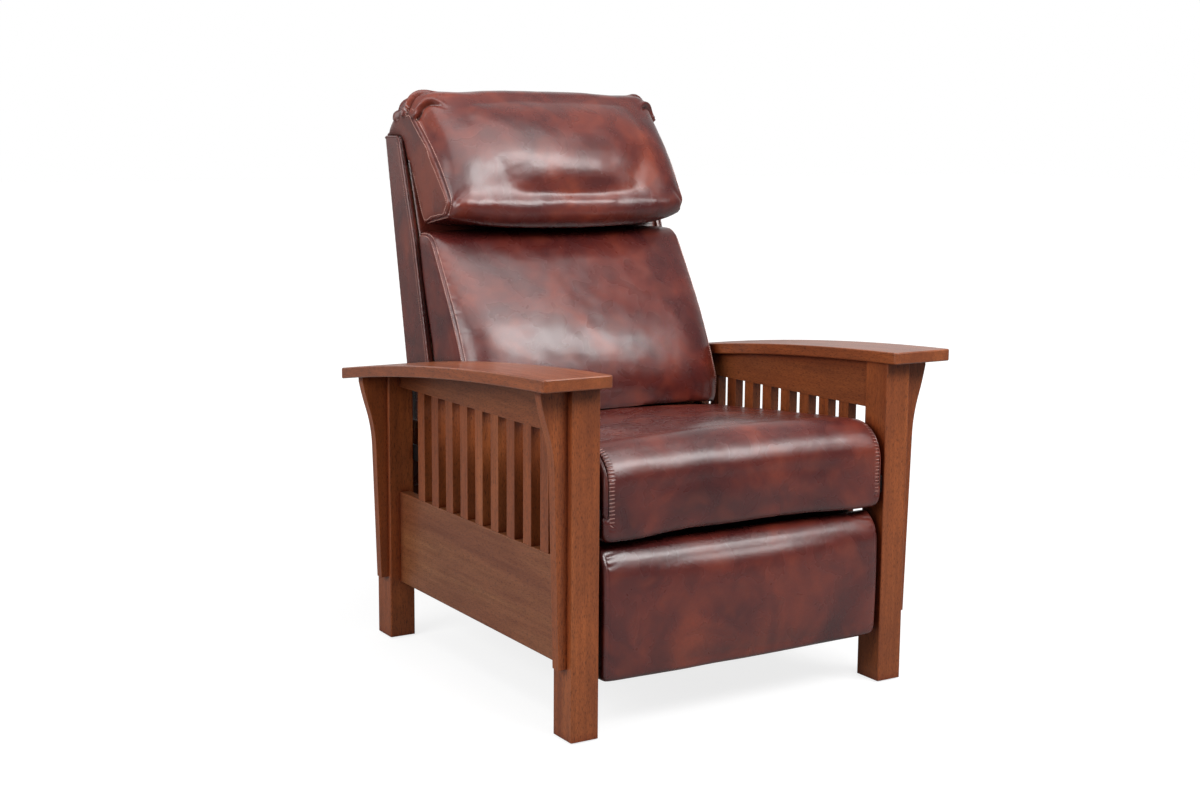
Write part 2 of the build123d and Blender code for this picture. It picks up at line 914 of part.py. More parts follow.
def back_rail(low):
    # a board across the back between the posts, behind the front line of the posts
    half = post_outer_half - post_width
    near = max(post_front_depth(low), post_front_depth(low + back_rail_height))
    return side_box(-half, half, near, near + back_rail_thickness, low, low + back_rail_height)


def back_webbing():
    # straps from post to post on the front of the posts between the two lower rails
    half = post_outer_half - post_width
    first = back_low_rail_bottom + back_rail_height
    last = back_mid_rail_height
    pitch = (last - first) / back_webbing_count
    straps = []
    for number in range(back_webbing_count):
        height = first + (number + 1 / 2) * pitch
        edges = (height - webbing_width / 2, height + webbing_width / 2)
        depth = max(post_front_depth(edge) for edge in edges) + running_gap
        straps.append(
            side_box(
                -half,
                half,
                depth,
                depth + webbing_thickness,
                *edges,
            )
        )
    return straps


def back_bracket():
    top_place = (hinge_depth, bracket_top - bracket_radius)
    face = strap([back_hinge, top_place], bracket_radius)
    face = pierced(face, (), (back_hinge,))
    plate = side_extrude(face, link_layer, steel_thickness)
    for height in back_bolt_heights:
        plate = plate - disc((hinge_depth, height), bolt_radius, link_layer, link_layer + steel_thickness)
    return plate


def back_bolts():
    bolts = []
    for height in back_bolt_heights:
        place = (hinge_depth, height)
        outer = link_layer + steel_thickness
        shank = disc(place, bolt_radius, post_outer_half - post_width, outer)
        head = disc(place, bolt_head_radius, outer, outer + bolt_head_thickness)
        bolts.extend(left_and_right(shank + head))
    return bolts


def footrest_board():
    depth = pad_rear_depth
    half = pad_half_width - board_margin
    low = pad_bottom + board_margin
    high = pad_top - board_margin
    board = side_box(-half, half, depth, depth + board_thickness, low, high)
    for x, z in screw_places():
        board = board - screw_bore(x, z)
    return board


def bracket_span():
    low = footrest_low_pivot[1] - bracket_ear_radius - screw_margin * 2
    high = footrest_high_pivot[1] + bracket_ear_radius + screw_margin * 2
    return low, high


def footrest_bracket():
    # a flange on the board and two ears that carry the lower and upper pivots
    low, high = bracket_span()
    face_depth = pad_rear_depth + board_thickness
    flange = side_box(
        link_layer + steel_thickness - bracket_flange_width,
        link_layer + steel_thickness,
        face_depth,
        face_depth + bracket_flange_thickness,
        low,
        high,
    )
    root_low = (face_depth, footrest_low_pivot[1] - bracket_ear_radius * 2)
    root_high = (face_depth, footrest_high_pivot[1] + bracket_ear_radius * 2)
    ear = make_hull(
        (Pos(*side_point(footrest_low_pivot)) * Circle(bracket_ear_radius)).edges()
        + (Pos(*side_point(footrest_high_pivot)) * Circle(bracket_ear_radius)).edges()
        + [Line(side_point(root_low), side_point(root_high))]
    )
    behind_board = Pos(at_depth(face_depth) + overrun, footrest_pivot_height) * Rectangle(
        2 * overrun, 2 * (high - low)
    )
    ear = ear & behind_board
    plate = side_extrude(
        pierced(ear, (footrest_low_pivot, footrest_high_pivot), ()), link_layer, steel_thickness
    )
    bracket = plate + flange
    for x, z in screw_places():
        if x > 0:
            bracket = bracket - screw_bore(x, z)
    return bracket


def screw_places():
    low, high = bracket_span()
    x = link_layer + steel_thickness - bracket_flange_width + screw_margin / 2
    return [(side * x, z) for side in (-1, 1) for z in (low + screw_margin, high - screw_margin)]


def screw_bore(x, z):
    outer = pad_rear_depth + board_thickness + bracket_flange_thickness
    start = Plane(origin=(x, at_depth(outer), z), x_dir=(1, 0, 0), z_dir=(0, -1, 0))
    return extrude(start * Circle(screw_radius), bracket_flange_thickness + screw_grip)


def footrest_screws():
    outer = pad_rear_depth + board_thickness + bracket_flange_thickness
    screws = []
    for x, z in screw_places():
        start = Plane(origin=(x, at_depth(outer), z), x_dir=(1, 0, 0), z_dir=(0, 1, 0))
        head = extrude(start * Circle(screw_head_radius), screw_head_thickness)
        screws.append(screw_bore(x, z) + head)
    return screws


def cross_tube():
    place = (
        rear_link_pivot[0] + cross_tube_share * (knee[0] - rear_link_pivot[0]),
        rear_link_pivot[1] + cross_tube_share * (knee[1] - rear_link_pivot[1]),
    )
    outer = disc(place, cross_tube_radius, -link_layer, link_layer)
    return outer - disc(place, cross_tube_radius - cross_tube_wall, -link_layer, link_layer)


def build():
    os.makedirs("parts", exist_ok=True)

    rear_leg_depth = frame_depth - leg_depth
    for name, piece in (("front", leg(0)), ("rear", leg(rear_leg_depth))):
        left, right = left_and_right(piece)
        save(f"leg_{name}_left", left)
        save(f"leg_{name}_right", right)
    corbels = (
        ("front", corbel(front_corbel_set_back)),
        ("rear", corbel(rear_leg_depth + rear_corbel_set_back)),
    )
    for name, piece in corbels:
        left, right = left_and_right(piece)
        save(f"corbel_{name}_left", left)
        save(f"corbel_{name}_right", right)
    for name, piece in (("arm", arm()), ("top_rail", top_rail()), ("side_panel", side_panel())):
        left, right = left_and_right(piece)
        save(f"{name}_left", left)
        save(f"{name}_right", right)
    row = slats()
    save("side_slats_left", *[mirror(slat, Plane.YZ) for slat in row])
    save("side_slats_right", *row)

    panel_inner_half = panel_outer_half() - panel_thickness
    save(
        "front_stretcher",
        stretcher(panel_inner_half, front_stretcher_depth, front_stretcher_bottom, front_stretcher_top),
    )
    rear_depth = rear_leg_depth + rear_stretcher_inset
    save("rear_stretcher", stretcher(leg_inner_half, rear_depth, rear_stretcher_bottom, rear_stretcher_top))
    save("floor_glides", *floor_glides())

    for name, piece in (("base_rail", base_rail()), ("seat_plate", seat_plate())):
        left, right = left_and_right(piece)
        save(f"{name}_left", left)
        save(f"{name}_right", right)
    save("base_bolts", *base_bolts())
    save(
        "base_rivets",
        *pairs(
            rivet(front_swing_top, base_layer, swing_layer),
            rivet(rear_swing_top, base_layer, swing_layer),
        ),
    )
    for name, top, foot in (
        ("front_swing_links", front_swing_top, front_swing_foot),
        ("rear_swing_links", rear_swing_top, rear_swing_foot),
    ):
        save(name, *pairs(link(swing_layer, [top, foot], free=(top, foot))))

    left, right = left_and_right(seat_side_rail())
    save("seat_rail_left", left)
    save("seat_rail_right", right)
    save("seat_rail_front", seat_front_rail())
    inner_half = plate_layer - seat_rail_width
    save("seat_rail_rear", seat_cross_rail(inner_half, seat_rear_rail_depth, seat_rail_bottom))
    save("seat_webbing", *seat_webbing())
    save("seat_bolts", *seat_bolts())
    save("seat_cushion", seat_cushion())
    save(
        "seat_rivets",
        *pairs(
            rivet(front_swing_foot, plate_layer, swing_layer),
            rivet(rear_swing_foot, plate_layer, swing_layer),
            rivet(rear_link_pivot, plate_layer, link_layer),
            rivet(front_link_pivot, plate_layer, link_layer),
            rivet(back_hinge, plate_layer, link_layer),
        ),
    )

    rear_link = link(link_layer, [rear_link_pivot, knee], tight=(knee,), free=(rear_link_pivot,))
    save("footrest_rear_links", *pairs(rear_link))
    save("footrest_cross_tube", cross_tube())
    front_link = link(
        link_layer,
        [front_link_pivot, crossing],
        tight=(crossing, short_link_foot),
        free=(front_link_pivot,),
    )
    save("footrest_front_links", *pairs(front_link))
    long_places = [knee, crossing, footrest_low_pivot]
    long_link = link(inner_layer, long_places, free=long_places)
    save("footrest_long_links", *pairs(long_link))
    short_link = link(
        inner_layer,
        [short_link_foot, footrest_high_pivot],
        free=(short_link_foot, footrest_high_pivot),
    )
    save("footrest_short_links", *pairs(short_link))
    save("knee_rivets", *pairs(rivet(knee, link_layer, inner_layer)))
    save(
        "front_link_rivets",
        *pairs(
            rivet(crossing, link_layer, inner_layer),
            rivet(short_link_foot, link_layer, inner_layer),
        ),
    )
    save(
        "footrest_rivets",
        *pairs(
            rivet(footrest_low_pivot, link_layer, inner_layer),
            rivet(footrest_high_pivot, link_layer, inner_layer),
        ),
    )
    save("footrest_board", footrest_board())
    save("footrest_pad", footrest_pad())
    left, right = left_and_right(footrest_bracket())
    save("footrest_bracket_left", left)
    save("footrest_bracket_right", right)
    save("footrest_screws", *footrest_screws())

    left, right = left_and_right(back_post())
    save("back_post_left", left)
    save("back_post_right", right)
    save("back_rail_low", back_rail(back_low_rail_bottom))
    save("back_rail_middle", back_rail(back_mid_rail_height))
    save("back_rail_top", back_rail(shell_top - shell_rear_wall - back_rail_height))
    save("back_webbing", *back_webbing())
    save("back_brackets", *pairs(back_bracket()))
    save("back_bolts", *back_bolts())
    save("inside_back", inside_back())
    save("outside_back", outside_back())
    save("back_cushion", back_cushion())
    save("head_pillow", head_pillow())


if __name__ == "__main__":
    build()
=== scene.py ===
# %% [markdown]
# # Dressing a mission reclining armchair
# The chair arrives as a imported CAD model: a wooden arm frame that stands still, a seat that
# glides, a footrest on folding links and a back that leans. Here it gets its looks: stained
# wood, oxblood leather, stuffing that swells, seams, pleats and thread. Nothing of the frame
# is moved. Each new piece rides on the body of the part that it covers.

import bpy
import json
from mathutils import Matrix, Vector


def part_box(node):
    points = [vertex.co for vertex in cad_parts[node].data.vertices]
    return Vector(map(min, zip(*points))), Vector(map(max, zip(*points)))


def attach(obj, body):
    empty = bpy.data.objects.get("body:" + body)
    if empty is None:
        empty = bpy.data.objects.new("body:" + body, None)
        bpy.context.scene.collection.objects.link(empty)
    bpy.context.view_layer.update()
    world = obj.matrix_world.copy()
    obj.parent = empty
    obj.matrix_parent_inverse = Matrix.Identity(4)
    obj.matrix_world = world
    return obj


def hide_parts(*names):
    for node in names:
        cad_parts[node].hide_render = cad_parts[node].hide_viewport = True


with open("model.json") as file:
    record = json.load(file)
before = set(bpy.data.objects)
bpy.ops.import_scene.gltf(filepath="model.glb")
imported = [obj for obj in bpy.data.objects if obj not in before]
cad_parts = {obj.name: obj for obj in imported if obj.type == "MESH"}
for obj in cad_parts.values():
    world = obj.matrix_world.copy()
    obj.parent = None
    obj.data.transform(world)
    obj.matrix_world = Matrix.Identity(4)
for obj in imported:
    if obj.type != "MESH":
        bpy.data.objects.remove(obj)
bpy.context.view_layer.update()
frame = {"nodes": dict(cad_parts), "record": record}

import bmesh
import bpy
import json
import math
import numpy as np
from mathutils import Matrix, Vector, noise
from mathutils.bvhtree import BVHTree
from mathutils.kdtree import KDTree

scene = bpy.context.scene
nodes = frame["nodes"]
print("CAD nodes:", len(nodes))

# %% [markdown]
# ## Where the picture is taken from
# The photographer stood to the left of the chair's front, at about the height of the head
# pillow, with a moderate long lens. The place and the turns were found by fitting known
# corners of the wooden frame. Written as three turns, they give the camera's own axes.

# %% Set up the camera
CAMERA_PLACE = Vector((-1.70866, -2.70609, 0.97635))
CAMERA_YAW, CAMERA_PITCH, CAMERA_ROLL = -0.550291, -0.152892, 0.007381
LENS_MM, SENSOR_MM = 51.944, 36.0


def camera_axes(yaw, pitch, roll):
    flat = math.cos(pitch)
    ahead = Vector((math.sin(-yaw) * flat, math.cos(yaw) * flat, math.sin(pitch)))
    level = Vector((math.cos(-yaw), -math.sin(-yaw), 0))
    upward = level.cross(ahead)
    side = level * math.cos(roll) + upward * math.sin(roll)
    up = upward * math.cos(roll) - level * math.sin(roll)
    return side, up, -ahead


camera_data = bpy.data.cameras.new("Camera")
camera_data.lens = LENS_MM
camera_data.sensor_width = SENSOR_MM
camera_data.clip_start = 0.05
camera = bpy.data.objects.new("Camera", camera_data)
side, up, back = camera_axes(CAMERA_YAW, CAMERA_PITCH, CAMERA_ROLL)
turn = Matrix((side, up, back)).transposed().to_4x4()
camera.matrix_world = Matrix.Translation(CAMERA_PLACE) @ turn
scene.collection.objects.link(camera)
scene.camera = camera
scene.view_settings.view_transform = "Standard"
print("camera looks along", tuple(round(c, 3) for c in -back))

# %% [markdown]
# ## Short calls for node materials
# Every finish below is worked out by nodes, so that it fits a piece of any shape and needs
# no picture files. A small class keeps the calls short: each call adds one node and gives
# back the socket that the next call takes in.


# %% A class that builds node finishes
def linear(red, green, blue):
    """A colour as a paint chart gives it, 0 to 255, turned into the numbers that shaders use."""
    parts = [c / 255 for c in (red, green, blue)]
    parts = [c / 12.92 if c <= 0.04045 else ((c + 0.055) / 1.055) ** 2.4 for c in parts]
    return (*parts, 1.0)


# a mix node has sockets for every kind of data: these are its share and its colours
MIX_SHARE, MIX_FIRST, MIX_SECOND, MIX_RESULT = 0, 6, 7, 2


class Finish:
    def __init__(self, name):
        self.material = bpy.data.materials.new(name)
        self.material.use_nodes = True
        self.tree = self.material.node_tree
        self.shader = self.tree.nodes["Principled BSDF"]
        self.place = self.add("ShaderNodeTexCoord").outputs["Object"]

    def add(self, kind, inputs=(), **settings):
        node = self.tree.nodes.new(kind)
        for name, value in settings.items():
            setattr(node, name, value)
        for name, value in dict(inputs).items():
            self.plug(node.inputs[name], value)
        return node

    def plug(self, socket, value):
        if isinstance(value, bpy.types.NodeSocket):
            self.tree.links.new(value, socket)
        else:
            socket.default_value = value

    def stretched(self, scale, shift=(0, 0, 0), turn=(0, 0, 0)):
        inputs = {"Vector": self.place, "Scale": scale, "Location": shift, "Rotation": turn}
        return self.add("ShaderNodeMapping", inputs).outputs["Vector"]

    def noise(self, place, scale, detail=3.0, roughness=0.5, bend=0.0):
        inputs = {"Vector": place, "Scale": scale, "Detail": detail}
        inputs |= {"Roughness": roughness, "Distortion": bend}
        return self.add("ShaderNodeTexNoise", inputs).outputs["Fac"]

    def waves(self, scale, bend, direction):
        inputs = {"Vector": self.place, "Scale": scale, "Distortion": bend, "Detail": 1.0}
        return self.add("ShaderNodeTexWave", inputs, bands_direction=direction).outputs["Fac"]

    def cells(self, place, scale):
        inputs = {"Vector": place, "Scale": scale}
        node = self.add("ShaderNodeTexVoronoi", inputs, feature="DISTANCE_TO_EDGE")
        return node.outputs["Distance"]

    def ramp(self, value, *stops):
        node = self.add("ShaderNodeValToRGB", {"Fac": value})
        band = node.color_ramp
        while len(band.elements) < len(stops):
            band.elements.new(0.5)
        for element, (at, colour) in zip(band.elements, stops):
            element.position = at
            element.color = colour if hasattr(colour, "__len__") else (colour, colour, colour, 1)
        return node.outputs["Color"]

    def sum(self, operation, first, second):
        node = self.add("ShaderNodeMath", operation=operation)
        for socket, value in zip(node.inputs, (first, second)):
            self.plug(socket, value)
        return node.outputs["Value"]

    def mix(self, share, first, second, blend="MIX"):
        node = self.add("ShaderNodeMix", data_type="RGBA", blend_type=blend)
        self.plug(node.inputs[MIX_SHARE], share)
        self.plug(node.inputs[MIX_FIRST], first)
        self.plug(node.inputs[MIX_SECOND], second)
        return node.outputs[MIX_RESULT]

    def bump(self, height, depth, strength=1.0, normal=None):
        inputs = {"Height": height, "Distance": depth, "Strength": strength}
        if normal is not None:
            inputs["Normal"] = normal
        return self.add("ShaderNodeBump", inputs).outputs["Normal"]

    def eased_edge(self, radius):
        return self.add("ShaderNodeBevel", {"Radius": radius}, samples=4).outputs["Normal"]

    def edge_mask(self, rounded):
        """1 on an edge and 0 on a flat, from how far the rounded normal leans from the real one."""
        flat = self.add("ShaderNodeNewGeometry").outputs["Normal"]
        node = self.add("ShaderNodeVectorMath", operation="DOT_PRODUCT")
        self.plug(node.inputs[0], rounded)
        self.plug(node.inputs[1], flat)
        return self.ramp(node.outputs["Value"], (0.72, 1.0), (0.995, 0.0))

    def occlusion_shade(self, reach):
        """0 deep in a corner or between two parts and 1 on an open face: the share of painted
        shade.
        """
        node = self.add("ShaderNodeAmbientOcclusion", {"Distance": reach}, samples=6)
        return node.outputs["AO"]

    def set(self, **inputs):
        for name, value in inputs.items():
            self.plug(self.shader.inputs[name.replace("_", " ")], value)


# %% [markdown]
# ## Mission stain
# The arms, legs, panels, slats and corbels are hardwood with a warm reddish-brown stain
# under satin lacquer. Stain settles in the pores as fine dark dashes along the grain, broad
# bands run lighter and darker, eased edges wear paler, and joints keep a dark line. Shade in
# corners and recesses is painted into the colour too. The grain must follow each board, so one
# finish is made for upright boards and one for boards that lie from front to rear: the pattern
# is simply stretched along that axis.


# %% Stained wood, one finish for each direction of the grain
GRAIN_STRETCH = 0.055


def along_scale(axis, short=1.0, long=GRAIN_STRETCH):
    return tuple(long if letter == axis else short for letter in "XYZ")


def stained_wood(name, axis, shift=0.0, brown=0.0, gloss=0.12):
    """brown is 0 for the warm orange tone of the arms and legs and 1 for the duller panels."""
    f = Finish(name)
    shifted = (shift, shift * 1.7, shift * 0.6)
    grain = f.stretched(along_scale(axis), shifted)
    pores = f.stretched(along_scale(axis, long=0.1), shifted)
    bands = f.noise(grain, 15, 4, 0.55, 0.6)
    streaks = f.noise(grain, 120, 6, 0.65)
    dashes = f.noise(pores, 1300, 2, 0.6)
    clouds = f.noise(f.stretched(along_scale(axis, long=0.5), shifted), 11, 4, 0.6, 0.5)
    body = f.ramp(
        bands,
        (0.28, linear(118 - 10 * brown, 57, 27 + 8 * brown)),
        (0.45, linear(141 - 14 * brown, 73, 36 + 9 * brown)),
        (0.6, linear(154 - 18 * brown, 84, 44 + 8 * brown)),
        (0.76, linear(170 - 22 * brown, 99, 56 + 6 * brown)),
    )
    dull = linear(112, 58 + 4 * brown, 34 + 4 * brown)
    body = f.mix(f.ramp(clouds, (0.36, 0.5), (0.62, 0.0)), body, dull)
    body = f.mix(f.ramp(streaks, (0.38, 0.32), (0.62, 0.0)), body, linear(84, 38, 18))
    body = f.mix(f.ramp(dashes, (0.36, 0.75), (0.46, 0.0)), body, linear(52, 22, 10))
    rounded = f.eased_edge(0.0016)
    patchy = f.ramp(f.noise(f.place, 60, 3), (0.3, 0.25), (0.7, 1.0))
    worn = f.sum("MULTIPLY", f.edge_mask(rounded), patchy)
    body = f.mix(f.sum("MULTIPLY", worn, 0.4), body, linear(194, 118, 70))
    # painted shade: the stain runs darker where other surfaces stand close, a dark line of stain in
    # the joints and painted shade in corners and recesses
    deep, halfway = (0.24, 0.07, 0.03, 1), (0.72, 0.52, 0.42, 1)
    stain_and_painted_shade = f.ramp(f.occlusion_shade(0.022), (0.2, deep), (0.55, halfway), (0.9, 1.0))
    body = f.mix(1.0, body, stain_and_painted_shade, "MULTIPLY")
    rough = f.ramp(streaks, (0.3, 0.46), (0.7, 0.36))
    height = f.sum("ADD", f.sum("MULTIPLY", dashes, 0.5), f.sum("MULTIPLY", streaks, 0.4))
    f.set(Base_Color=body, Roughness=rough, Normal=f.bump(height, 0.0004, 0.45, rounded))
    f.set(Coat_Weight=gloss, Coat_Roughness=0.16, Specular_IOR_Level=0.3)
    return f.material


def give(node, material):
    """A CAD node keeps its mesh and takes a better finish in each of its material slots."""
    for slot in nodes[node].material_slots:
        slot.material = material


upright_wood = stained_wood("mission_stain_upright", "Z")
upright_wood_right = stained_wood("mission_stain_upright_right", "Z", 3.1)
lengthwise_wood = stained_wood("mission_stain_lengthwise", "Y", 1.3, 0.4)
panel_wood = stained_wood("mission_stain_panel", "Y", 2.9, 1.0)
arm_wood = stained_wood("mission_stain_arm", "Y", 5.2, gloss=0.5)
UPRIGHT = ("leg_front", "leg_rear", "corbel_front", "corbel_rear", "side_slats")
for upright in UPRIGHT:
    give(f"{upright}_left", upright_wood)
    give(f"{upright}_right", upright_wood_right)
for side_name in ("left", "right"):
    give(f"arm_{side_name}", arm_wood)
    give(f"top_rail_{side_name}", lengthwise_wood)
    give(f"side_panel_{side_name}", panel_wood)
print("stained pieces:", 2 * (len(UPRIGHT) + 3))

# %% [markdown]
# ## The wood inside
# The frames under the leather are plain planed hardwood without stain. They are seen only
# when the chair is open, but the pale boards make the inside believable. The two stretchers
# take a crosswise stain.


# %% Plain hardwood for the hidden frames
def plain_wood(name, axis):
    f = Finish(name)
    grain = f.stretched(along_scale(axis))
    bands = f.noise(grain, 20, 4, 0.55, 0.6)
    streaks = f.noise(grain, 170, 5, 0.6)
    body = f.ramp(
        bands,
        (0.3, linear(150, 112, 72)),
        (0.55, linear(190, 152, 106)),
        (0.8, linear(206, 172, 126)),
    )
    body = f.mix(f.ramp(streaks, (0.4, 0.4), (0.6, 0.0)), body, linear(128, 90, 54))
    rounded = f.eased_edge(0.001)
    f.set(Base_Color=body, Roughness=f.ramp(streaks, (0.3, 0.72), (0.7, 0.6)))
    f.set(Normal=f.bump(streaks, 0.0004, 0.5, rounded))
    return f.material


crosswise_board = plain_wood("planed_wood_crosswise", "X")
upright_board = plain_wood("planed_wood_upright", "Z")
for node in ("seat_rail_rear", "back_rail_low", "back_rail_middle", "back_rail_top"):
    give(node, crosswise_board)
for node in ("footrest_board", "back_post_left", "back_post_right"):
    give(node, upright_board)
for node in ("seat_rail_left", "seat_rail_right"):
    give(node, plain_wood("planed_wood_" + node, "Y"))
stretcher_wood = stained_wood("mission_stain_crosswise", "X", 7.7)
for node in ("front_stretcher", "rear_stretcher"):
    give(node, stretcher_wood)

# %% [markdown]
# ## Steel, zinc, webbing and glides
# The mechanism is flat steel strip with a black coat, rubbed bright at its edges. Rivets,
# bolts and screws are zinc plated and dull with a faint blotch. Webbing is woven jute with
# crossing threads. The glides are brown plastic, scuffed by the floor.


# %% Finishes for the mechanism and the small parts
def black_steel():
    f = Finish("black_coated_steel")
    specks = f.noise(f.place, 900, 3)
    scuffs = f.noise(f.stretched((1, 0.2, 1)), 70, 5, 0.7)
    rounded = f.eased_edge(0.0008)
    body = f.ramp(scuffs, (0.3, linear(24, 24, 26)), (0.75, linear(48, 48, 50)))
    body = f.mix(f.sum("MULTIPLY", f.edge_mask(rounded), 0.6), body, linear(120, 118, 112))
    f.set(Base_Color=body, Roughness=f.ramp(scuffs, (0.3, 0.5), (0.7, 0.34)), Metallic=0.75)
    f.set(Normal=f.bump(specks, 0.0002, 0.4, rounded))
    return f.material


def zinc_plate():
    f = Finish("zinc_plate")
    blotches = f.noise(f.place, 160, 4, 0.6)
    rounded = f.eased_edge(0.0009)
    f.set(Base_Color=f.ramp(blotches, (0.3, linear(140, 140, 134)), (0.7, linear(196, 196, 188))))
    f.set(Metallic=1.0, Roughness=f.ramp(blotches, (0.3, 0.42), (0.7, 0.24)))
    f.set(Normal=f.bump(f.noise(f.place, 1500, 2), 0.0001, 0.4, rounded))
    return f.material


def jute_webbing(name, axis):
    f = Finish(name)
    weave = f.sum("MAXIMUM", f.waves(110.0, 0.4, "X"), f.waves(110.0, 0.4, axis))
    hairs = f.noise(f.place, 420, 4, 0.7)
    body = f.ramp(weave, (0.2, linear(96, 78, 50)), (0.9, linear(186, 164, 120)))
    body = f.mix(f.ramp(hairs, (0.35, 0.4), (0.6, 0.0)), body, linear(120, 98, 64))
    f.set(Base_Color=body, Roughness=f.ramp(hairs, (0.3, 0.95), (0.7, 0.8)))
    f.set(Normal=f.bump(weave, 0.0008, 0.8))
    return f.material


def shade_black_cloth():
    """Thin black cloth glued on the front rail as painted shade: no pale wood shows under the seat.
    """
    f = Finish("black_cloth_for_shade")
    weave = f.sum("MULTIPLY", f.waves(420.0, 0.3, "X"), f.waves(420.0, 0.3, "Z"))
    lint = f.noise(f.place, 60, 4, 0.6)
    f.set(Base_Color=f.ramp(lint, (0.3, linear(16, 14, 14)), (0.75, linear(34, 31, 30))))
    f.set(Normal=f.bump(weave, 0.0003, 0.6), Roughness=0.9, Specular_IOR_Level=0.2)
    return f.material


def brown_plastic():
    f = Finish("brown_glide_plastic")
    scuffs = f.noise(f.place, 240, 4, 0.6)
    f.set(Base_Color=f.ramp(scuffs, (0.3, linear(46, 34, 28)), (0.7, linear(74, 58, 48))))
    f.set(Roughness=f.ramp(scuffs, (0.3, 0.6), (0.7, 0.4)), Normal=f.bump(scuffs, 0.0002, 0.5))
    return f.material


FINISH_OF_SLOT = {"black_steel": black_steel(), "zinc": zinc_plate(), "glide": brown_plastic()}
for part in frame["record"]["subparts"]:
    if part["material_slot"] in FINISH_OF_SLOT:
        give(part["node"], FINISH_OF_SLOT[part["material_slot"]])
# the front rail is covered in black cloth as painted shade in the gap under the seat
give("seat_rail_front", shade_black_cloth())
give("seat_webbing", jute_webbing("jute_webbing_seat", "Y"))
give("back_webbing", jute_webbing("jute_webbing_back", "Z"))
print("materials so far:", len(bpy.data.materials))

# %% [markdown]
# ## Oxblood leather
# The hide is dyed deep red and rubbed by hand, so plum shadows and rusty patches drift over
# it. A clear dressing gives it a half gloss, and its fine grain breaks the edge of every
# highlight. Three sizes of noise give the drift, a net of small cells gives the grain, and a
# second wider net gives the faint creases of a stretched hide.


# %% Leather
def oxblood(name, shift=0.0, brown=0.0):
    """brown is the share of a duller brown, for the ends and the outside back."""
    f = Finish(name)
    place = f.stretched((1, 1, 1), (shift, shift * 0.7, shift * 1.3))
    drift = f.noise(place, 6.5, 3, 0.55, 0.9)
    blots = f.noise(place, 21, 2.5, 0.5, 0.4)
    flecks = f.noise(place, 260, 2, 0.5)
    body = f.ramp(
        drift,
        (0.3, linear(62, 20, 20)),
        (0.45, linear(80, 27, 23)),
        (0.57, linear(97, 36, 27)),
        (0.72, linear(120, 50, 32)),
    )
    body = f.mix(f.ramp(blots, (0.30, 0.38), (0.56, 0.0)), body, linear(58, 23, 25))
    body = f.mix(f.ramp(blots, (0.54, 0.0), (0.80, 0.38)), body, linear(130, 57, 36))
    body = f.mix(f.ramp(flecks, (0.34, 0.16), (0.6, 0.0)), body, linear(52, 20, 20))
    if brown:
        body = f.mix(brown, body, linear(92, 50, 40))
    # painted shade: the leather is darkened in its creases, seams and pleats and where other pieces
    # stand close
    crease = f.ramp(f.occlusion_shade(0.02), (0.2, 0.25), (0.8, 1.0))
    body = f.mix(1.0, body, crease, "MULTIPLY")
    grain = f.ramp(f.cells(place, 560), (0.0, 0.0), (0.22, 1.0))
    folds = f.noise(place, 90, 4, 0.6, 1.2)
    height = f.sum("ADD", f.sum("MULTIPLY", grain, 0.3), f.sum("MULTIPLY", folds, 0.8))
    f.set(Base_Color=body, Roughness=f.ramp(blots, (0.3, 0.24), (0.7, 0.32)))
    f.set(Normal=f.bump(height, 0.0006, 0.4), Specular_IOR_Level=0.55)
    f.set(Coat_Weight=0.28, Coat_Roughness=0.2)
    return f.material


leather = {
    "seat": oxblood("oxblood_seat", 0.0),
    "back": oxblood("oxblood_back", 2.3),
    "pillow": oxblood("oxblood_pillow", 4.9),
    "footrest": oxblood("oxblood_footrest", 7.1),
    "shell": oxblood("oxblood_shell", 9.4, 0.15),
    "ends": oxblood("oxblood_ends", 12.2, 0.25),
}
print("hides:", ", ".join(leather))

# %% [markdown]
# ## From a CAD solid to a stuffed cover
# A cushion starts as a copy of the solid that it replaces, so it sits exactly where the CAD
# says. The copy is remeshed into even small faces and smoothed, which rounds its corners
# like leather over foam. Blender's cloth then swells it from inside while the seams hold
# it, for the soft fullness that no smoothing gives. How far a point may move is capped.


# %% Copy, remesh and smooth a CAD solid
def new_object(name, mesh):
    piece = bpy.data.objects.new(name, mesh)
    scene.collection.objects.link(piece)
    return piece


def settle(piece):
    """Makes what the modifiers show the piece's own mesh."""
    shown = piece.evaluated_get(bpy.context.evaluated_depsgraph_get())
    mesh = bpy.data.meshes.new_from_object(shown)
    piece.modifiers.clear()
    piece.data = mesh
    return piece


def points(piece):
    flat = np.empty(len(piece.data.vertices) * 3)
    piece.data.vertices.foreach_get("co", flat)
    return flat.reshape(-1, 3)


def normals(piece):
    flat = np.empty(len(piece.data.vertices) * 3)
    piece.data.vertex_normals.foreach_get("vector", flat)
    return flat.reshape(-1, 3)


def move_points(piece, places):
    piece.data.vertices.foreach_set("co", np.asarray(places, float).ravel())
    piece.data.update()


def copied(node, name, voxel, smoothing):
    mesh = nodes[node].data.copy()
    mesh.materials.clear()
    welded = bmesh.new()
    welded.from_mesh(mesh)
    bmesh.ops.remove_doubles(welded, verts=welded.verts, dist=1e-5)
    welded.to_mesh(mesh)
    welded.free()
    piece = new_object(name, mesh)
    remesh = piece.modifiers.new("Even faces", "REMESH")
    remesh.mode = "VOXEL"
    remesh.voxel_size = voxel
    smooth = piece.modifiers.new("Soft corners", "SMOOTH")
    smooth.iterations = smoothing
    settle(piece)
    print(f"{name}: {len(piece.data.vertices)} points at {voxel * 1000:.0f} mm")
    return piece


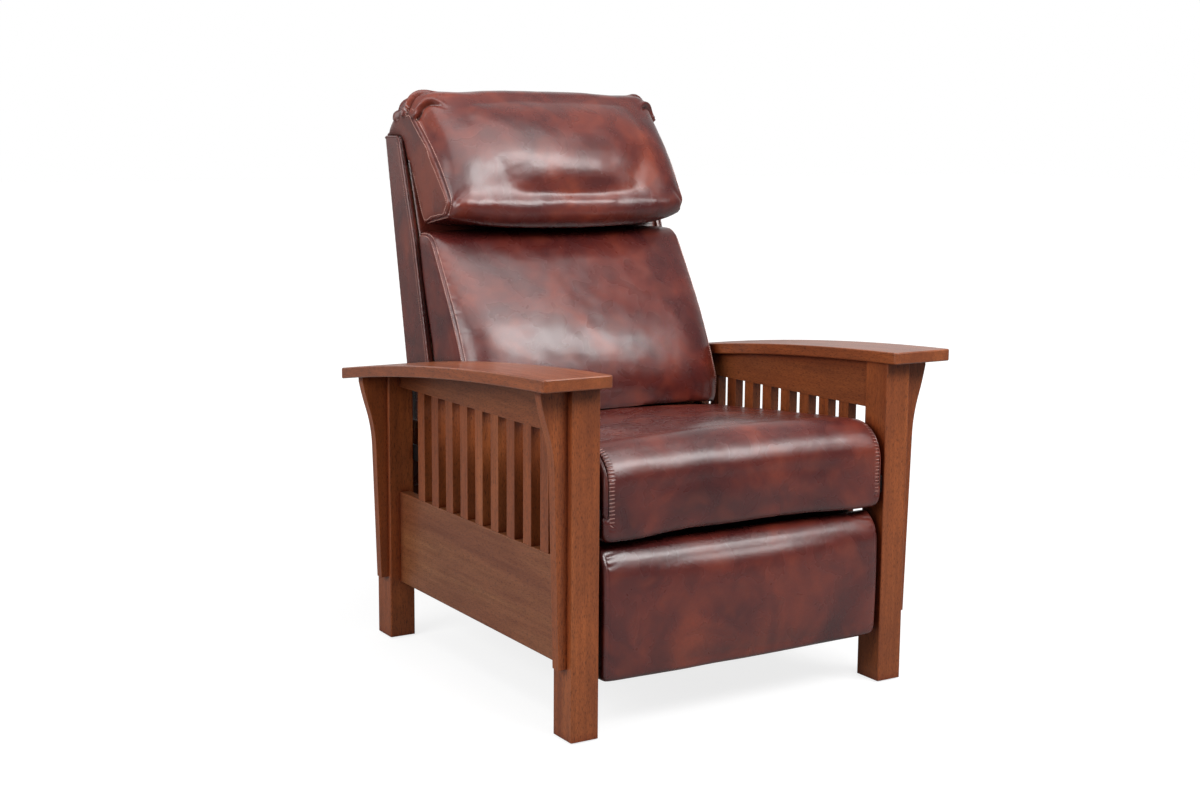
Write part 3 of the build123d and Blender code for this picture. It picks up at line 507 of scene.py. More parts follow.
# %% Swell a cover from inside with cloth
def broad_part(piece, step, rounds):
    """The slow part of how far points move: each round takes the mean of a point's neighbours."""
    ends = np.empty(len(piece.data.edges) * 2, np.int64)
    piece.data.edges.foreach_get("vertices", ends)
    first, second = ends[::2], ends[1::2]
    count = np.bincount(ends, minlength=len(step))
    for _ in range(rounds):
        total = np.column_stack([
            np.bincount(first, step[second, k], len(step))
            + np.bincount(second, step[first, k], len(step))
            for k in range(3)
        ])
        step = 0.5 * step + 0.5 * total / np.maximum(count, 1)[:, None]
    return step


FRAMES = 20
START_IN = 0.004
HELD_LEVELS = 10
BROAD_ROUNDS, WRINKLE_SHARE, TAKEN_BACK_SHARE = 60, 0.12, 0.85


def swell(piece, held, pressure, cap):
    """held is 1 where a seam or a board holds the leather and 0 where it is free. The hide is
    thick and taut: a small share of the cloth's fine wrinkles is kept, and where the cloth
    shrank below the pattern that the hide was cut to, most of that is taken back."""
    goal = points(piece)
    free = np.clip(1 - held, 0, 1)[:, None]
    move_points(piece, goal - normals(piece) * START_IN * free)
    group = piece.vertex_groups.new(name="held")
    levels = np.round(held * HELD_LEVELS).astype(int)
    for level in range(1, HELD_LEVELS + 1):
        chosen = np.flatnonzero(levels == level)
        if len(chosen):
            group.add(chosen.tolist(), level / HELD_LEVELS, "REPLACE")
    cloth = piece.modifiers.new("Stuffing", "CLOTH")
    rules = cloth.settings
    rules.quality = 4
    rules.mass = 0.3
    rules.air_damping = 2.0
    rules.tension_stiffness = rules.compression_stiffness = 18
    rules.bending_stiffness = 0.9
    rules.use_pressure = True
    rules.uniform_pressure_force = pressure
    rules.vertex_group_mass = "held"
    rules.effector_weights.gravity = 0
    cloth.collision_settings.use_collision = False
    cloth.point_cache.frame_start = 1
    cloth.point_cache.frame_end = FRAMES
    for number in range(1, FRAMES + 1):
        scene.frame_set(number)
    settle(piece)
    step = points(piece) - goal
    broad = broad_part(piece, step, BROAD_ROUNDS)
    step = broad + WRINKLE_SHARE * (step - broad)
    move_points(piece, goal)
    n = normals(piece)
    inward = np.minimum((step * n).sum(1), 0)[:, None]
    step = (step - TAKEN_BACK_SHARE * inward * n) * free
    reach = np.linalg.norm(step, axis=1, keepdims=True)
    step *= np.minimum(1, cap / np.maximum(reach, 1e-9))
    move_points(piece, goal + step)
    scene.frame_set(1)
    mean, most = reach.mean() * 1000, reach.max() * 1000
    print(f"{piece.name}: leather moved {mean:.1f} mm on average, {most:.1f} at most")


def finer(piece):
    rounder = piece.modifiers.new("Finer", "SUBSURF")
    rounder.levels = rounder.render_levels = 1
    settle(piece)
    for face in piece.data.polygons:
        face.use_smooth = True
    return piece


def dress(piece, material, body, *replaced, fill=None):
    """Gives a finished piece its material, its body and the CAD nodes that it stands for."""
    piece.data.materials.clear()
    piece.data.materials.append(material)
    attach(piece, body)
    if replaced:
        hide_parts(*replaced)
    print(f"{piece.name}: {len(piece.data.polygons)} faces, rides on {body}")
    return piece


def smoothstep(low, high, value):
    """0 below low, 1 above high and an eased slope between."""
    share = np.clip((value - low) / (high - low), 0, 1)
    return share * share * (3 - 2 * share)


def hump(value, middle, spread):
    """1 at the middle, falling off to both sides."""
    return np.exp(-(((value - middle) / spread) ** 2))


# %% [markdown]
# ## Seams, folds and thread
# Sewing comes after the swelling, because a remesh would wipe it out. A line is laid on a
# finished cover by shooting rays at it. Along that line the leather is drawn in like a seam
# or raised like a pleat, and thread or piping follows it as small pieces of its own. Where a
# seam is narrower than the faces of the cover, the faces beside it are cut finer first.


# %% Lines laid on a cover
def skin(piece):
    """The cover as a tree that rays can be shot at."""
    faces = [tuple(face.vertices) for face in piece.data.polygons]
    return BVHTree.FromPolygons([tuple(place) for place in points(piece)], faces)


def calm(part, rounds=5):
    """Evens out the small steps from one face to the next."""
    for _ in range(rounds):
        part[1:-1] = (part[:-2] + 2 * part[1:-1] + part[2:]) / 4
    return part


def between(marks, along, places):
    """Places read off between given ones, each axis by itself."""
    return np.column_stack([np.interp(marks, along, places[:, k]) for k in range(3)])


def dense(guides, times):
    """More guide points, on straight runs between the given ones."""
    guides = np.array(guides, float)
    marks = np.linspace(0, len(guides) - 1, times * len(guides))
    return between(marks, np.arange(len(guides)), guides)


def evenly(line, pitch):
    """A line is its places and the normals there. This gives it points at an even pitch."""
    steps = np.linalg.norm(np.diff(line[0], axis=0), axis=1)
    along = np.concatenate([[0], np.cumsum(steps)])
    marks = np.linspace(0, along[-1], max(2, int(round(along[-1] / pitch)) + 1))
    places, lifts = (between(marks, along, part) for part in line)
    return places, lifts / np.linalg.norm(lifts, axis=1, keepdims=True)


def line_of(hits, rounds=5):
    """The places that rays hit and the normals there, both evened out."""
    hits = [hit for hit in hits if hit[0] is not None]
    places, lifts = (np.array([hit[k] for hit in hits]) for k in (0, 1))
    return calm(places), calm(lifts, rounds)


def line_round(cover, across, middle, first, last, lean=0.0):
    """A line round a cover, by rays from a point inside it, from one angle to another:
    0 degrees points to the rear, 90 up and 180 to the front."""
    hits = []
    for angle in np.radians(np.linspace(first, last, 241)):
        outward = Vector((lean * math.cos(angle), math.cos(angle), math.sin(angle)))
        hits.append(cover.ray_cast(Vector((across, *middle)), outward))
    return line_of(hits)


def line_seen(cover, towards, guides):
    """A line through guide points, by rays that all go one way."""
    return line_of([cover.ray_cast(Vector(guide), Vector(towards)) for guide in dense(guides, 24)])


IN_FRONT, BEHIND, ABOVE, BESIDE = -0.6, 0.7, 1.2, 0.4


def line_from_front(cover, *spots):
    """A line as it is seen from in front, through spots given across and up."""
    return line_seen(cover, (0, 1, 0), [(x, IN_FRONT, z) for x, z in spots])


def line_from_behind(cover, *spots):
    return line_seen(cover, (0, -1, 0), [(x, BEHIND, z) for x, z in spots])


def line_near(cover, guides):
    """A line through guide points that lie almost on the leather, moved onto it."""
    guides = calm(dense(guides, 16), 30)
    return line_of([cover.find_nearest(Vector(guide)) for guide in guides], 12)


def both_ways(line):
    """At each point of a line: the way ahead and the way to its left, on the leather."""
    places, lifts = line
    ahead = np.gradient(places, axis=0)
    ahead /= np.linalg.norm(ahead, axis=1, keepdims=True)
    left = np.cross(lifts, ahead)
    return ahead, left / np.linalg.norm(left, axis=1, keepdims=True)


# %% Draw the leather in, or raise it, along a line
def nearest_on(line, places):
    """For each place, the number of the nearest point of the line and how far it is."""
    finder = KDTree(len(line[0]))
    for number, place in enumerate(line[0]):
        finder.insert(place, number)
    finder.balance()
    found = [finder.find(place)[1:] for place in places]
    return np.array([f[0] for f in found]), np.array([f[1] for f in found])


def beside(line, places, reach):
    """The numbers of the places in a box a little larger than the line's."""
    inside = (places > line[0].min(0) - reach) & (places < line[0].max(0) + reach)
    return np.flatnonzero(np.all(inside, axis=1))


def cut_finer(piece, line, reach=0.007):
    """Halves the faces beside a line, so that a narrow seam has enough of them."""
    line = evenly(line, 0.002)
    p = points(piece)
    near = beside(line, p, reach)
    close = set(near[nearest_on(line, p[near])[1] < reach].tolist())
    work = bmesh.new()
    work.from_mesh(piece.data)
    work.verts.ensure_lookup_table()
    edges = [edge for edge in work.edges if all(end.index in close for end in edge.verts)]
    bmesh.ops.subdivide_edges(work, edges=edges, cuts=1, use_grid_fill=True, smooth=0.6)
    work.to_mesh(piece.data)
    work.free()


def shape_along(piece, line, profile, fade=None, reach=0.016):
    """profile gives how far the leather stands out by its distance to the left of the line,
    and fade how strongly, from the line's start at 0 to its end at 1."""
    line = evenly(line, 0.0015)
    ahead, left = both_ways(line)
    p, n = points(piece), normals(piece)
    near = beside(line, p, reach)
    if not len(near):
        return
    at, far = nearest_on(line, p[near])
    step = p[near] - line[0][at]
    beyond = np.abs((step * ahead[at]).sum(1))
    strength = (far < reach) * (1 - smoothstep(0.001, 0.005, beyond))
    strength = strength * ((n[near] * line[1][at]).sum(1) > 0.2)
    if fade is not None:
        strength = strength * fade(at / (len(line[0]) - 1))
    p[near] += n[near] * (profile((step * left[at]).sum(1)) * strength)[:, None]
    move_points(piece, p)


def dying(share):
    """Full strength at a line's start and none at its end."""
    return 1 - share


def dying_from(start):
    return lambda share: 1 - smoothstep(start, 1.0, share)


def groove(depth, width):
    return lambda left: -depth * hump(left, 0, width)


def pleat(height, width, under):
    """A ridge with a hollow tucked under one side of it: under is 1 for left and -1 for right."""
    hollow_place, hollow_width = 1.4 * width, 0.65 * width

    def profile(left):
        hollow = 1.3 * hump(under * left, hollow_place, hollow_width)
        return height * (hump(left, 0, width) - hollow)

    return profile


def uneven(piece, height, size, held=None):
    """Slow waves of the leather over its stuffing. They keep a highlight from looking ruled."""
    p = points(piece)
    wave = np.array([noise.noise(Vector(place) / size) for place in p])
    free = 1.0 if held is None else 1 - np.clip(held(p), 0, 1)
    move_points(piece, p + normals(piece) * (wave * height * free)[:, None])


# %% Thread and piping as pieces of their own
def smooth_piece(name, places, faces):
    mesh = bpy.data.meshes.new(name)
    mesh.from_pydata(np.asarray(places).reshape(-1, 3).tolist(), [], faces)
    for face in mesh.polygons:
        face.use_smooth = True
    return new_object(name, mesh)


def ring_faces(first, rings, sides):
    """The faces of a closed tube whose points were made ring by ring."""
    faces = []
    for ring in range(rings - 1):
        for k in range(sides):
            a, b = first + ring * sides + k, first + ring * sides + (k + 1) % sides
            faces.append((a, b, b + sides, a + sides))
    faces.append(tuple(range(first + sides - 1, first - 1, -1)))
    faces.append(tuple(range(first + (rings - 1) * sides, first + rings * sides)))
    return faces


# the rings of one stitch: where along it, how thick, and how far up or down
STATIONS = np.array([-0.5, -0.36, 0.0, 0.36, 0.5])
GIRTHS = np.array([0.3, 0.85, 1.0, 0.85, 0.3])
DIPS = np.array([-0.8, 0.0, 0.5, 0.0, -0.8])
STITCH_SIDES = 6


def stitches(name, lines, pitch, length, thickness, crosswise=False):
    """Each stitch is a small capsule that dips into the leather at both ends."""
    around = np.radians(np.arange(0, 360, 360 // STITCH_SIDES))
    places, faces = [], []
    for line in lines:
        line = evenly(line, pitch)
        ahead, left = both_ways(line)
        if crosswise:
            ahead, left = left, ahead
        for place, lift, forward, sideways in zip(*line, ahead, left):
            faces += ring_faces(len(places), len(STATIONS), STITCH_SIDES)
            for station, girth, dip in zip(STATIONS, GIRTHS, DIPS):
                middle = place + forward * station * length + lift * dip * thickness / 2
                for angle in around:
                    spoke = lift * math.sin(angle) + sideways * math.cos(angle)
                    places.append(middle + spoke * girth * thickness / 2)
    print(f"{name}: {len(places) // (len(STATIONS) * STITCH_SIDES)} stitches")
    return smooth_piece(name, places, faces)


def tube(name, lines, radius, lift=0.0, sides=10):
    """A round welt or piping along each line, closed at both ends."""
    around = np.linspace(0, 2 * math.pi, sides, endpoint=False)
    places, faces = [], []
    for line in lines:
        line = evenly(line, 0.003)
        faces += ring_faces(len(places), len(line[0]), sides)
        for place, outward, sideways in zip(*line, both_ways(line)[1]):
            for angle in around:
                spoke = outward * math.sin(angle) + sideways * math.cos(angle)
                places.append(place + outward * lift + spoke * radius)
    return smooth_piece(name, places, faces)


def thread_finish(name, colour):
    """Waxed thread: a twist of two strands that catches the light."""
    f = Finish(name)
    twist = f.waves(900.0, 1.0, "DIAGONAL")
    wear = f.noise(f.place, 90, 3)
    body = f.mix(f.ramp(wear, (0.35, 0.0), (0.65, 0.35)), linear(*colour), linear(110, 62, 52))
    f.set(Base_Color=body, Roughness=f.ramp(twist, (0.2, 0.6), (0.8, 0.42)))
    f.set(Normal=f.bump(twist, 0.0003, 0.5))
    return f.material


# how far apart the stitches of a plain row are, how long each is and how thick the thread
CUSHION_THREAD = (0.0040, 0.0032, 0.0013)
thread = thread_finish("rose_brown_thread", (206, 160, 148))
pale_thread = thread_finish("pale_seat_thread", (188, 142, 132))


def sew(piece, material, body):
    """Thread and piping ride with the cover that they are sewn to."""
    return dress(piece, material, body)


# %% [markdown]
# ## Seat cushion
# A deep cushion with a waterfall front, whose lower corners droop a little. Its sides are
# narrow boxing strips. The seam beside each strip runs over the top and down the front
# corner, and a ladder of wide overcast stitches beside it pulls the leather into small ribs.
# The underside lies on the webbing.

# %% Seat cushion
CUSHION_PRESSURE, CUSHION_CAP = 5.0, 0.022
seat_low, seat_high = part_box("seat_cushion")
seat = copied("seat_cushion", "seat_cushion_cover", 0.006, 3)


def seat_held(p):
    return smoothstep(seat_high.x - 0.016, seat_high.x - 0.006, np.abs(p[:, 0]))


p, n = points(seat), normals(seat)
base = smoothstep(0.5, 0.8, -n[:, 2])
rear = smoothstep(seat_high.y - 0.05, seat_high.y - 0.02, p[:, 1])
swell(seat, np.maximum(seat_held(p), np.maximum(base, rear)), CUSHION_PRESSURE, CUSHION_CAP)
p = points(seat)
droop = 0.006 * smoothstep(0.10, 0.24, np.abs(p[:, 0]))
p[:, 2] -= droop * hump(p[:, 1], seat_low.y, 0.06) * hump(p[:, 2], seat_low.z, 0.05)
move_points(seat, p)
finer(seat)
uneven(seat, 0.0016, 0.11, seat_held)
uneven(seat, 0.0005, 0.035, seat_held)

# %% Seat seams and the ladder of stitches
def strongest_halfway(share):
    return np.sin(math.pi * share) ** 0.5


SEAT_MIDDLE = (-0.32, 0.405)
SEAT_SEAM_ACROSS, LADDER_ACROSS = 0.2812, 0.2748
RUNG_PITCH, RUNG_LENGTH, RUNG_THICKNESS = 0.0065, 0.0105, 0.0011
RIB_REACH = 0.007
ladders, seat_seams = [], []
for end in (-1, 1):
    cover = skin(seat)
    seam = line_round(cover, end * SEAT_SEAM_ACROSS, SEAT_MIDDLE, 258, 15)
    ladder = line_round(cover, end * LADDER_ACROSS, SEAT_MIDDLE, 246, 118)
    cut_finer(seat, seam, 0.006)
    cut_finer(seat, ladder, 0.009)
    shape_along(seat, seam, groove(0.0024, 0.0018))
    ribs = evenly(ladder, RUNG_PITCH)
    for place, lift, across in zip(*ribs, both_ways(ribs)[1]):
        half = across * RIB_REACH
        rib = np.array([place - half, place, place + half]), np.array([lift] * 3)
        shape_along(seat, rib, groove(0.0010, 0.0016), strongest_halfway, 0.006)
    ladders.append(ladder)
    seat_seams.append(seam)
dress(seat, leather["seat"], "seat", "seat_cushion", fill=0.8)
cover = skin(seat)
rungs = [line_near(cover, ladder[0][::6]) for ladder in ladders]
welts = [line_near(cover, seam[0][::5]) for seam in seat_seams]
rung_size = (RUNG_PITCH, RUNG_LENGTH, RUNG_THICKNESS)
sew(stitches("seat_ladder_thread", rungs, *rung_size, crosswise=True), pale_thread, "seat")
sew(tube("seat_seam_welt", welts, 0.0014, -0.0003), leather["seat"], "seat")

# %% [markdown]
# ## Back cushion
# Crowned and leaning, fuller in its lower half where it carries the small of the back, with
# a slight hollow below that. The swelling alone leaves it too flat, so its face is moved
# forward by one smooth hump and back by a smaller one. A double row of stitches runs up the
# rounded edge in front of each side strip, and the hide shows short strain lines across it.

# %% Back cushion
_, back_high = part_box("back_cushion")
back_cushion = copied("back_cushion", "back_cushion_cover", 0.006, 5)


def back_held(p):
    return smoothstep(back_high.x - 0.014, back_high.x - 0.004, np.abs(p[:, 0]))


p, n = points(back_cushion), normals(back_cushion)
rear, base = smoothstep(0.2, 0.6, n[:, 1]), smoothstep(0.6, 0.9, -n[:, 2])
held = np.maximum.reduce([rear, back_held(p), base])
swell(back_cushion, held, CUSHION_PRESSURE, CUSHION_CAP)
p, n = points(back_cushion), normals(back_cushion)
facing = smoothstep(0.2, 0.7, -n[:, 1]) * np.clip(1 - (p[:, 0] / 0.285) ** 2, 0, 1) ** 0.5
crown, hollow = 0.020 * hump(p[:, 2], 0.61, 0.11), 0.008 * hump(p[:, 2], 0.47, 0.04)
p[:, 1] -= facing * (crown - hollow)
move_points(back_cushion, p)
finer(back_cushion)
uneven(back_cushion, 0.0022, 0.12, back_held)
uneven(back_cushion, 0.0006, 0.03, back_held)

# %% Back cushion seams
BACK_MIDDLE = (0.19, 0.60)
BACK_SEAM_ACROSS, BACK_ROWS_ACROSS = 0.2745, (0.2716, 0.2768)
STRAINS = (0.752, 0.737, 0.722, 0.705, 0.694, 0.672, 0.645, 0.612)
back_rows = []
for end in (-1, 1):
    cover = skin(back_cushion)
    seam = line_round(cover, end * BACK_SEAM_ACROSS, BACK_MIDDLE, 262, 62)
    cut_finer(back_cushion, seam)
    shape_along(back_cushion, seam, groove(0.0013, 0.0020))
    for number, height in enumerate(STRAINS):
        inner = 0.246 + 0.012 * math.sin(2.4 * number)
        inner_height = height + 0.004 * math.cos(1.9 * number)
        strain = line_from_front(cover, (end * 0.271, height), (end * inner, inner_height))
        shape_along(back_cushion, strain, groove(0.0006, 0.0030), dying, 0.01)
cover = skin(back_cushion)
for end in (-1, 1):
    for across in BACK_ROWS_ACROSS:
        back_rows.append(line_round(cover, end * across, BACK_MIDDLE, 262, 62))
dress(back_cushion, leather["back"], "backrest", "back_cushion", fill=0.75)
sew(stitches("back_cushion_thread", back_rows, *CUSHION_THREAD), thread, "backrest")

# %% [markdown]
# ## Head pillow
# A bolster over the top of the back, with a hump of stuffing for the head and a hollow at
# the neck. Each end is a separate panel on a slight slant, sewn on with two rows of thread.
# The leather of the bolster is longer than the panel's top edge, so it is gathered there in
# three deep pleats that run out over the top.

# %% Head pillow
END_NEAR_FRONT, END_FRONT_DEPTH, END_SLANT = 0.264, 0.1915, 0.0809


def end_plane(y):
    """How far out the end panel lies at a place between the pillow's nose and its rear."""
    return END_NEAR_FRONT + END_SLANT * (y - END_FRONT_DEPTH)


def pillow_held(p):
    return smoothstep(-0.012, -0.004, np.abs(p[:, 0]) - end_plane(p[:, 1]))


pillow = copied("head_pillow", "head_pillow_cover", 0.006, 4)
p, n = points(pillow), normals(pillow)
rear = smoothstep(0.6, 0.9, n[:, 1])
swell(pillow, np.maximum(rear, pillow_held(p)), CUSHION_PRESSURE, CUSHION_CAP)
p, n = points(pillow), normals(pillow)
facing = smoothstep(0.0, 0.5, -n[:, 1]) * np.clip(1 - (p[:, 0] / 0.27) ** 2, 0, 1) ** 0.6
crown, hollow = 0.021 * hump(p[:, 2], 0.962, 0.062), 0.012 * hump(p[:, 2], 0.858, 0.036)
p[:, 1] -= facing * (crown - hollow)
move_points(pillow, p)
finer(pillow)
uneven(pillow, 0.0024, 0.13, pillow_held)
uneven(pillow, 0.0007, 0.035, pillow_held)

# %% Pleats, creases and seams of the pillow
PILLOW_MIDDLE = (0.31, 0.92)
PILLOW_SEAM_INSET, PILLOW_ROW_INSETS = 0.004, (0.0008, 0.0072)
FRONT_PLEAT = (
    (0.269, 0.322, 1.003), (0.258, 0.322, 1.022), (0.248, 0.316, 1.031),
    (0.238, 0.309, 1.035), (0.226, 0.299, 1.032), (0.212, 0.285, 1.022),
)
MIDDLE_PLEAT = (
    (0.275, 0.352, 1.008), (0.263, 0.354, 1.026), (0.251, 0.352, 1.037),
    (0.240, 0.347, 1.044), (0.226, 0.338, 1.049), (0.210, 0.328, 1.050),
)
REAR_PLEAT = (
    (0.278, 0.384, 1.000), (0.266, 0.387, 1.017), (0.253, 0.384, 1.028), (0.238, 0.380, 1.038),
)
CORNER_CREASE = (
    (0.262, 0.200, 0.828), (0.254, 0.184, 0.849), (0.236, 0.181, 0.870), (0.214, 0.184, 0.890),
)
PUFF_PLACE, PUFF_HEIGHT, PUFF_SIZE = (0.250, 0.362, 1.026), 0.013, 0.030
PUFF_STRETCH = (1, 0.62, 1)


def mirrored(guides, end):
    return [(end * x, y, z) for x, y, z in guides]


def pillow_ring(cover, end, inset):
    across = end * (end_plane(PILLOW_MIDDLE[0]) - inset)
    return line_round(cover, across, PILLOW_MIDDLE, 298, 66, end * END_SLANT)


p = points(pillow)
for end in (-1, 1):
    middle = mirrored([PUFF_PLACE], end)[0]
    away = np.linalg.norm((p - middle) * PUFF_STRETCH, axis=1)
    short_of_end = 1 - smoothstep(-0.008, 0.002, np.abs(p[:, 0]) - end_plane(p[:, 1]))
    puff = PUFF_HEIGHT * hump(away, 0, PUFF_SIZE) * short_of_end
    p += normals(pillow) * puff[:, None]
move_points(pillow, p)
for end in (-1, 1):
    cover = skin(pillow)
    seam = pillow_ring(cover, end, PILLOW_SEAM_INSET)
    cut_finer(pillow, seam)
    for guides in (FRONT_PLEAT, MIDDLE_PLEAT, REAR_PLEAT):
        ridge = line_near(cover, mirrored(guides, end))
        cut_finer(pillow, ridge, 0.014)
        shape_along(pillow, ridge, pleat(0.0066, 0.0052, end), dying_from(0.45), 0.02)
    crease = line_near(cover, mirrored(CORNER_CREASE, end))
    shape_along(pillow, crease, groove(0.0030, 0.0075), dying_from(0.3), 0.02)
    shape_along(pillow, seam, groove(0.0016, 0.0022))
cover = skin(pillow)
pillow_rows = [pillow_ring(cover, end, inset) for end in (-1, 1) for inset in PILLOW_ROW_INSETS]
dress(pillow, leather["pillow"], "backrest", "head_pillow", fill=0.8)
pillow.data.materials.append(leather["ends"])
p = points(pillow)
on_the_end = np.abs(p[:, 0]) > end_plane(p[:, 1]) - 0.0045
for face in pillow.data.polygons:
    face.material_index = int(all(on_the_end[v] for v in face.vertices))
sew(stitches("head_pillow_thread", pillow_rows, *CUSHION_THREAD), thread, "backrest")

# %% [markdown]
# ## Footrest pad
# A padded board that closes the front. Its face is firm and leans back towards the top into
# a soft roll, and the hide puckers a little at the two upper corners.

# %% Footrest pad
PAD_PRESSURE, PAD_CAP = 4.0, 0.012
PAD_SEAM_ACROSS, PUCKER_ACROSS = 0.2785, 0.274
PUCKERS = ((0.012, 0.030), (0.020, 0.040), (0.030, 0.026))
pad_low, pad_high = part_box("footrest_pad")
pad = copied("footrest_pad", "footrest_pad_cover", 0.005, 3)


def pad_held(p):
    return smoothstep(pad_high.x - 0.012, pad_high.x - 0.004, np.abs(p[:, 0]))


p, n = points(pad), normals(pad)
swell(pad, np.maximum(smoothstep(0.2, 0.6, n[:, 1]), pad_held(p)), PAD_PRESSURE, PAD_CAP)
p = points(pad)
deep = pad_high.y - pad_low.y
front_share = 1 - smoothstep(pad_low.y + 0.4 * deep, pad_high.y - 0.1 * deep, p[:, 1])
p[:, 1] += front_share * 0.012 * smoothstep(pad_high.z - 0.055, pad_high.z, p[:, 2]) ** 1.5
move_points(pad, p)
finer(pad)
uneven(pad, 0.0010, 0.09, pad_held)
for end in (-1, 1):
    cover = skin(pad)
    across = end * PAD_SEAM_ACROSS
    edge = line_from_front(cover, (across, pad_low.z + 0.012), (across, pad_high.z - 0.014))
    cut_finer(pad, edge)
    shape_along(pad, edge, groove(0.0012, 0.0018))
    for drop, reach_in in PUCKERS:
        outer = (end * PUCKER_ACROSS, pad_high.z - drop)
        inner = (end * (PUCKER_ACROSS - reach_in), pad_high.z - drop * 0.7)
        pucker = line_from_front(cover, outer, inner)
        shape_along(pad, pucker, groove(0.0013, 0.0042), dying, 0.012)
dress(pad, leather["footrest"], "footrest", "footrest_pad", fill=0.7)

# %% [markdown]
# ## Outside back
# A leather shell over the sides, the top and the rear of the back frame, with a thin padded
# panel inside it that the cushions lean on. Piping edges its front, and rows of stitches
# hold the turned hide at the side seams and the hem.

# %% Outside back and inside back
SHELL_EDGE_ACROSS, REAR_SEAM_ACROSS = 0.2832, 0.266
HEM_HEIGHT, CREST_HEIGHT = 0.303, 0.955
TOP_EDGE_DEPTHS = (0.421, 0.405, 0.385, 0.368)
SIDE_ROW_INSET = 0.0075
shell = copied("outside_back", "outside_back_cover", 0.003, 2)
lining = copied("inside_back", "inside_back_cover", 0.004, 3)
for cover_piece in (shell, lining):
    for face in cover_piece.data.polygons:
        face.use_smooth = True
dress(shell, leather["shell"], "backrest", "outside_back")
dress(lining, leather["shell"], "backrest", "inside_back", fill=0.3)
cover = skin(shell)
heights = np.linspace(0.955, 0.432, 40)
front_edges, side_rows, rear_rows = [], [], []
for end in (-1, 1):
    across = end * SHELL_EDGE_ACROSS
    front = line_from_front(cover, *[(across, z) for z in heights])
    top_guides = [(across, y, ABOVE) for y in TOP_EDGE_DEPTHS]
    top = line_seen(cover, (0, 0, -1), top_guides)
    front_edges.append(tuple(np.concatenate(parts) for parts in zip(top, front)))
    side_guides = [(end * BESIDE, y + SIDE_ROW_INSET, z) for _, y, z in front[0][::24]]
    side_rows.append(line_seen(cover, (-end, 0, 0), side_guides))
    down = [(end * REAR_SEAM_ACROSS, z) for z in np.linspace(0.95, 0.306, 30)]
    rear_rows.append(line_from_behind(cover, *down))
widths = np.linspace(-REAR_SEAM_ACROSS, REAR_SEAM_ACROSS, 20)
hem = line_from_behind(cover, *[(x, HEM_HEIGHT) for x in widths])
crest = line_from_behind(cover, *[(x, CREST_HEIGHT) for x in widths])
shell_rows = side_rows + rear_rows + [hem, crest]
sew(tube("outside_back_piping", front_edges, 0.0026, 0.0002), leather["shell"], "backrest")
sew(stitches("outside_back_thread", shell_rows, 0.0042, 0.0032, 0.0008), thread, "backrest")

# %% [markdown]
# ## Floor, backdrop and light
# The picture was taken in a white studio with pale walls all round. A broad soft light hangs
# overhead and another stands at the left. A long narrow one at the right front is rolled, so
# that it shows on the leather as a slanted highlight. The floor takes the chair's shadow.
# Away from the chair it fades into the white behind, by place, so that no horizon shows.


# %% A pale floor that fades into white
def pale_floor():
    f = Finish("pale_studio_floor")
    distance = f.add("ShaderNodeVectorMath", operation="LENGTH")
    f.plug(distance.inputs[0], f.place)
    ray = f.add("ShaderNodeLightPath").outputs
    in_mirrors = f.sum("MAXIMUM", ray["Is Glossy Ray"], ray["Is Transmission Ray"])
    seen = f.sum("MAXIMUM", ray["Is Camera Ray"], f.sum("MULTIPLY", in_mirrors, 0.1))
    away = f.ramp(f.sum("DIVIDE", distance.outputs["Value"], 6.0), (0.1, 0.8), (0.5, 1.0))
    f.set(Base_Color=f.ramp(f.noise(f.place, 3), (0.3, 0.24), (0.7, 0.26)), Roughness=0.95)
    f.set(Specular_IOR_Level=0.0, Emission_Color=(1, 1, 1, 1))
    f.set(Emission_Strength=f.sum("MULTIPLY", away, seen))
    return f.material


floor_mesh = bpy.data.meshes.new("floor")
ground = bmesh.new()
bmesh.ops.create_grid(ground, x_segments=8, y_segments=8, size=30)
ground.to_mesh(floor_mesh)
ground.free()
floor = new_object("studio_floor", floor_mesh)
floor_mesh.materials.append(pale_floor())

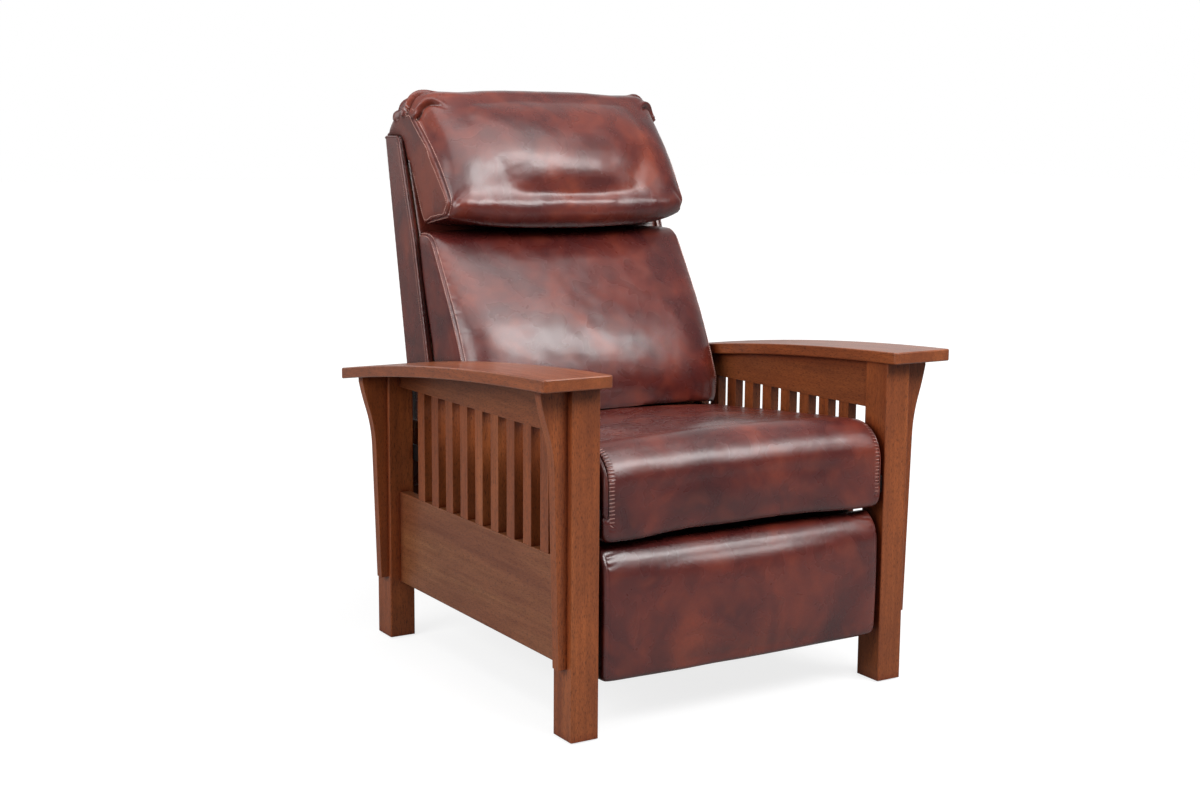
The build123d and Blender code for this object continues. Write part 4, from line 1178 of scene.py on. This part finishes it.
# %% Lights and the white surroundings
world = bpy.data.worlds.new("studio_air")
world.use_nodes = True
air = world.node_tree
background = air.nodes["Background"]
background.inputs["Color"].default_value = (1, 1, 1, 1)
rays = air.nodes.new("ShaderNodeLightPath").outputs


def air_sum(operation, first, second):
    node = air.nodes.new("ShaderNodeMath")
    node.operation = operation
    for socket, value in zip(node.inputs, (first, second)):
        if isinstance(value, bpy.types.NodeSocket):
            air.links.new(value, socket)
        else:
            socket.default_value = value
    return node.outputs["Value"]


direction = air.nodes.new("ShaderNodeSeparateXYZ")
air.links.new(air.nodes.new("ShaderNodeTexCoord").outputs["Generated"], direction.inputs["Vector"])
upward = air_sum("MAXIMUM", direction.outputs["Z"], 0.0)
rearward = air_sum("MAXIMUM", direction.outputs["Y"], 0.0)
AIR_LOW, AIR_HIGH, AIR_BEHIND = 0.12, 0.24, 0.6
room = air_sum("ADD", AIR_LOW, air_sum("MULTIPLY", upward, AIR_HIGH))
room = air_sum("ADD", room, air_sum("MULTIPLY", rearward, AIR_BEHIND))
seen_directly = air_sum("MAXIMUM", rays["Is Camera Ray"], rays["Is Transmission Ray"])
air.links.new(air_sum("MAXIMUM", room, seen_directly), background.inputs["Strength"])
scene.world = world


def softbox(name, place, aim, width, height, watts, roll=0.0):
    data = bpy.data.lights.new(name, "AREA")
    data.shape = "RECTANGLE"
    data.size, data.size_y = width, height
    data.energy = watts
    lamp = bpy.data.objects.new(name, data)
    towards = (Vector(aim) - Vector(place)).to_track_quat("-Z", "Y").to_matrix().to_4x4()
    rolled = Matrix.Rotation(math.radians(roll), 4, "Z")
    lamp.matrix_world = Matrix.Translation(place) @ (towards @ rolled)
    scene.collection.objects.link(lamp)
    print(f"{name}: {width} by {height} m, {watts} W")


softbox("softbox_overhead", (-0.2, -0.85, 2.85), (0, 0, 0.6), 3.0, 2.2, 54)
softbox("softbox_front", (1.05, -2.6, 2.75), (0, 0, 0.7), 2.9, 1.15, 118, roll=-28)
softbox("softbox_left", (-2.9, -0.6, 1.7), (0, 0, 0.5), 1.8, 1.6, 62)
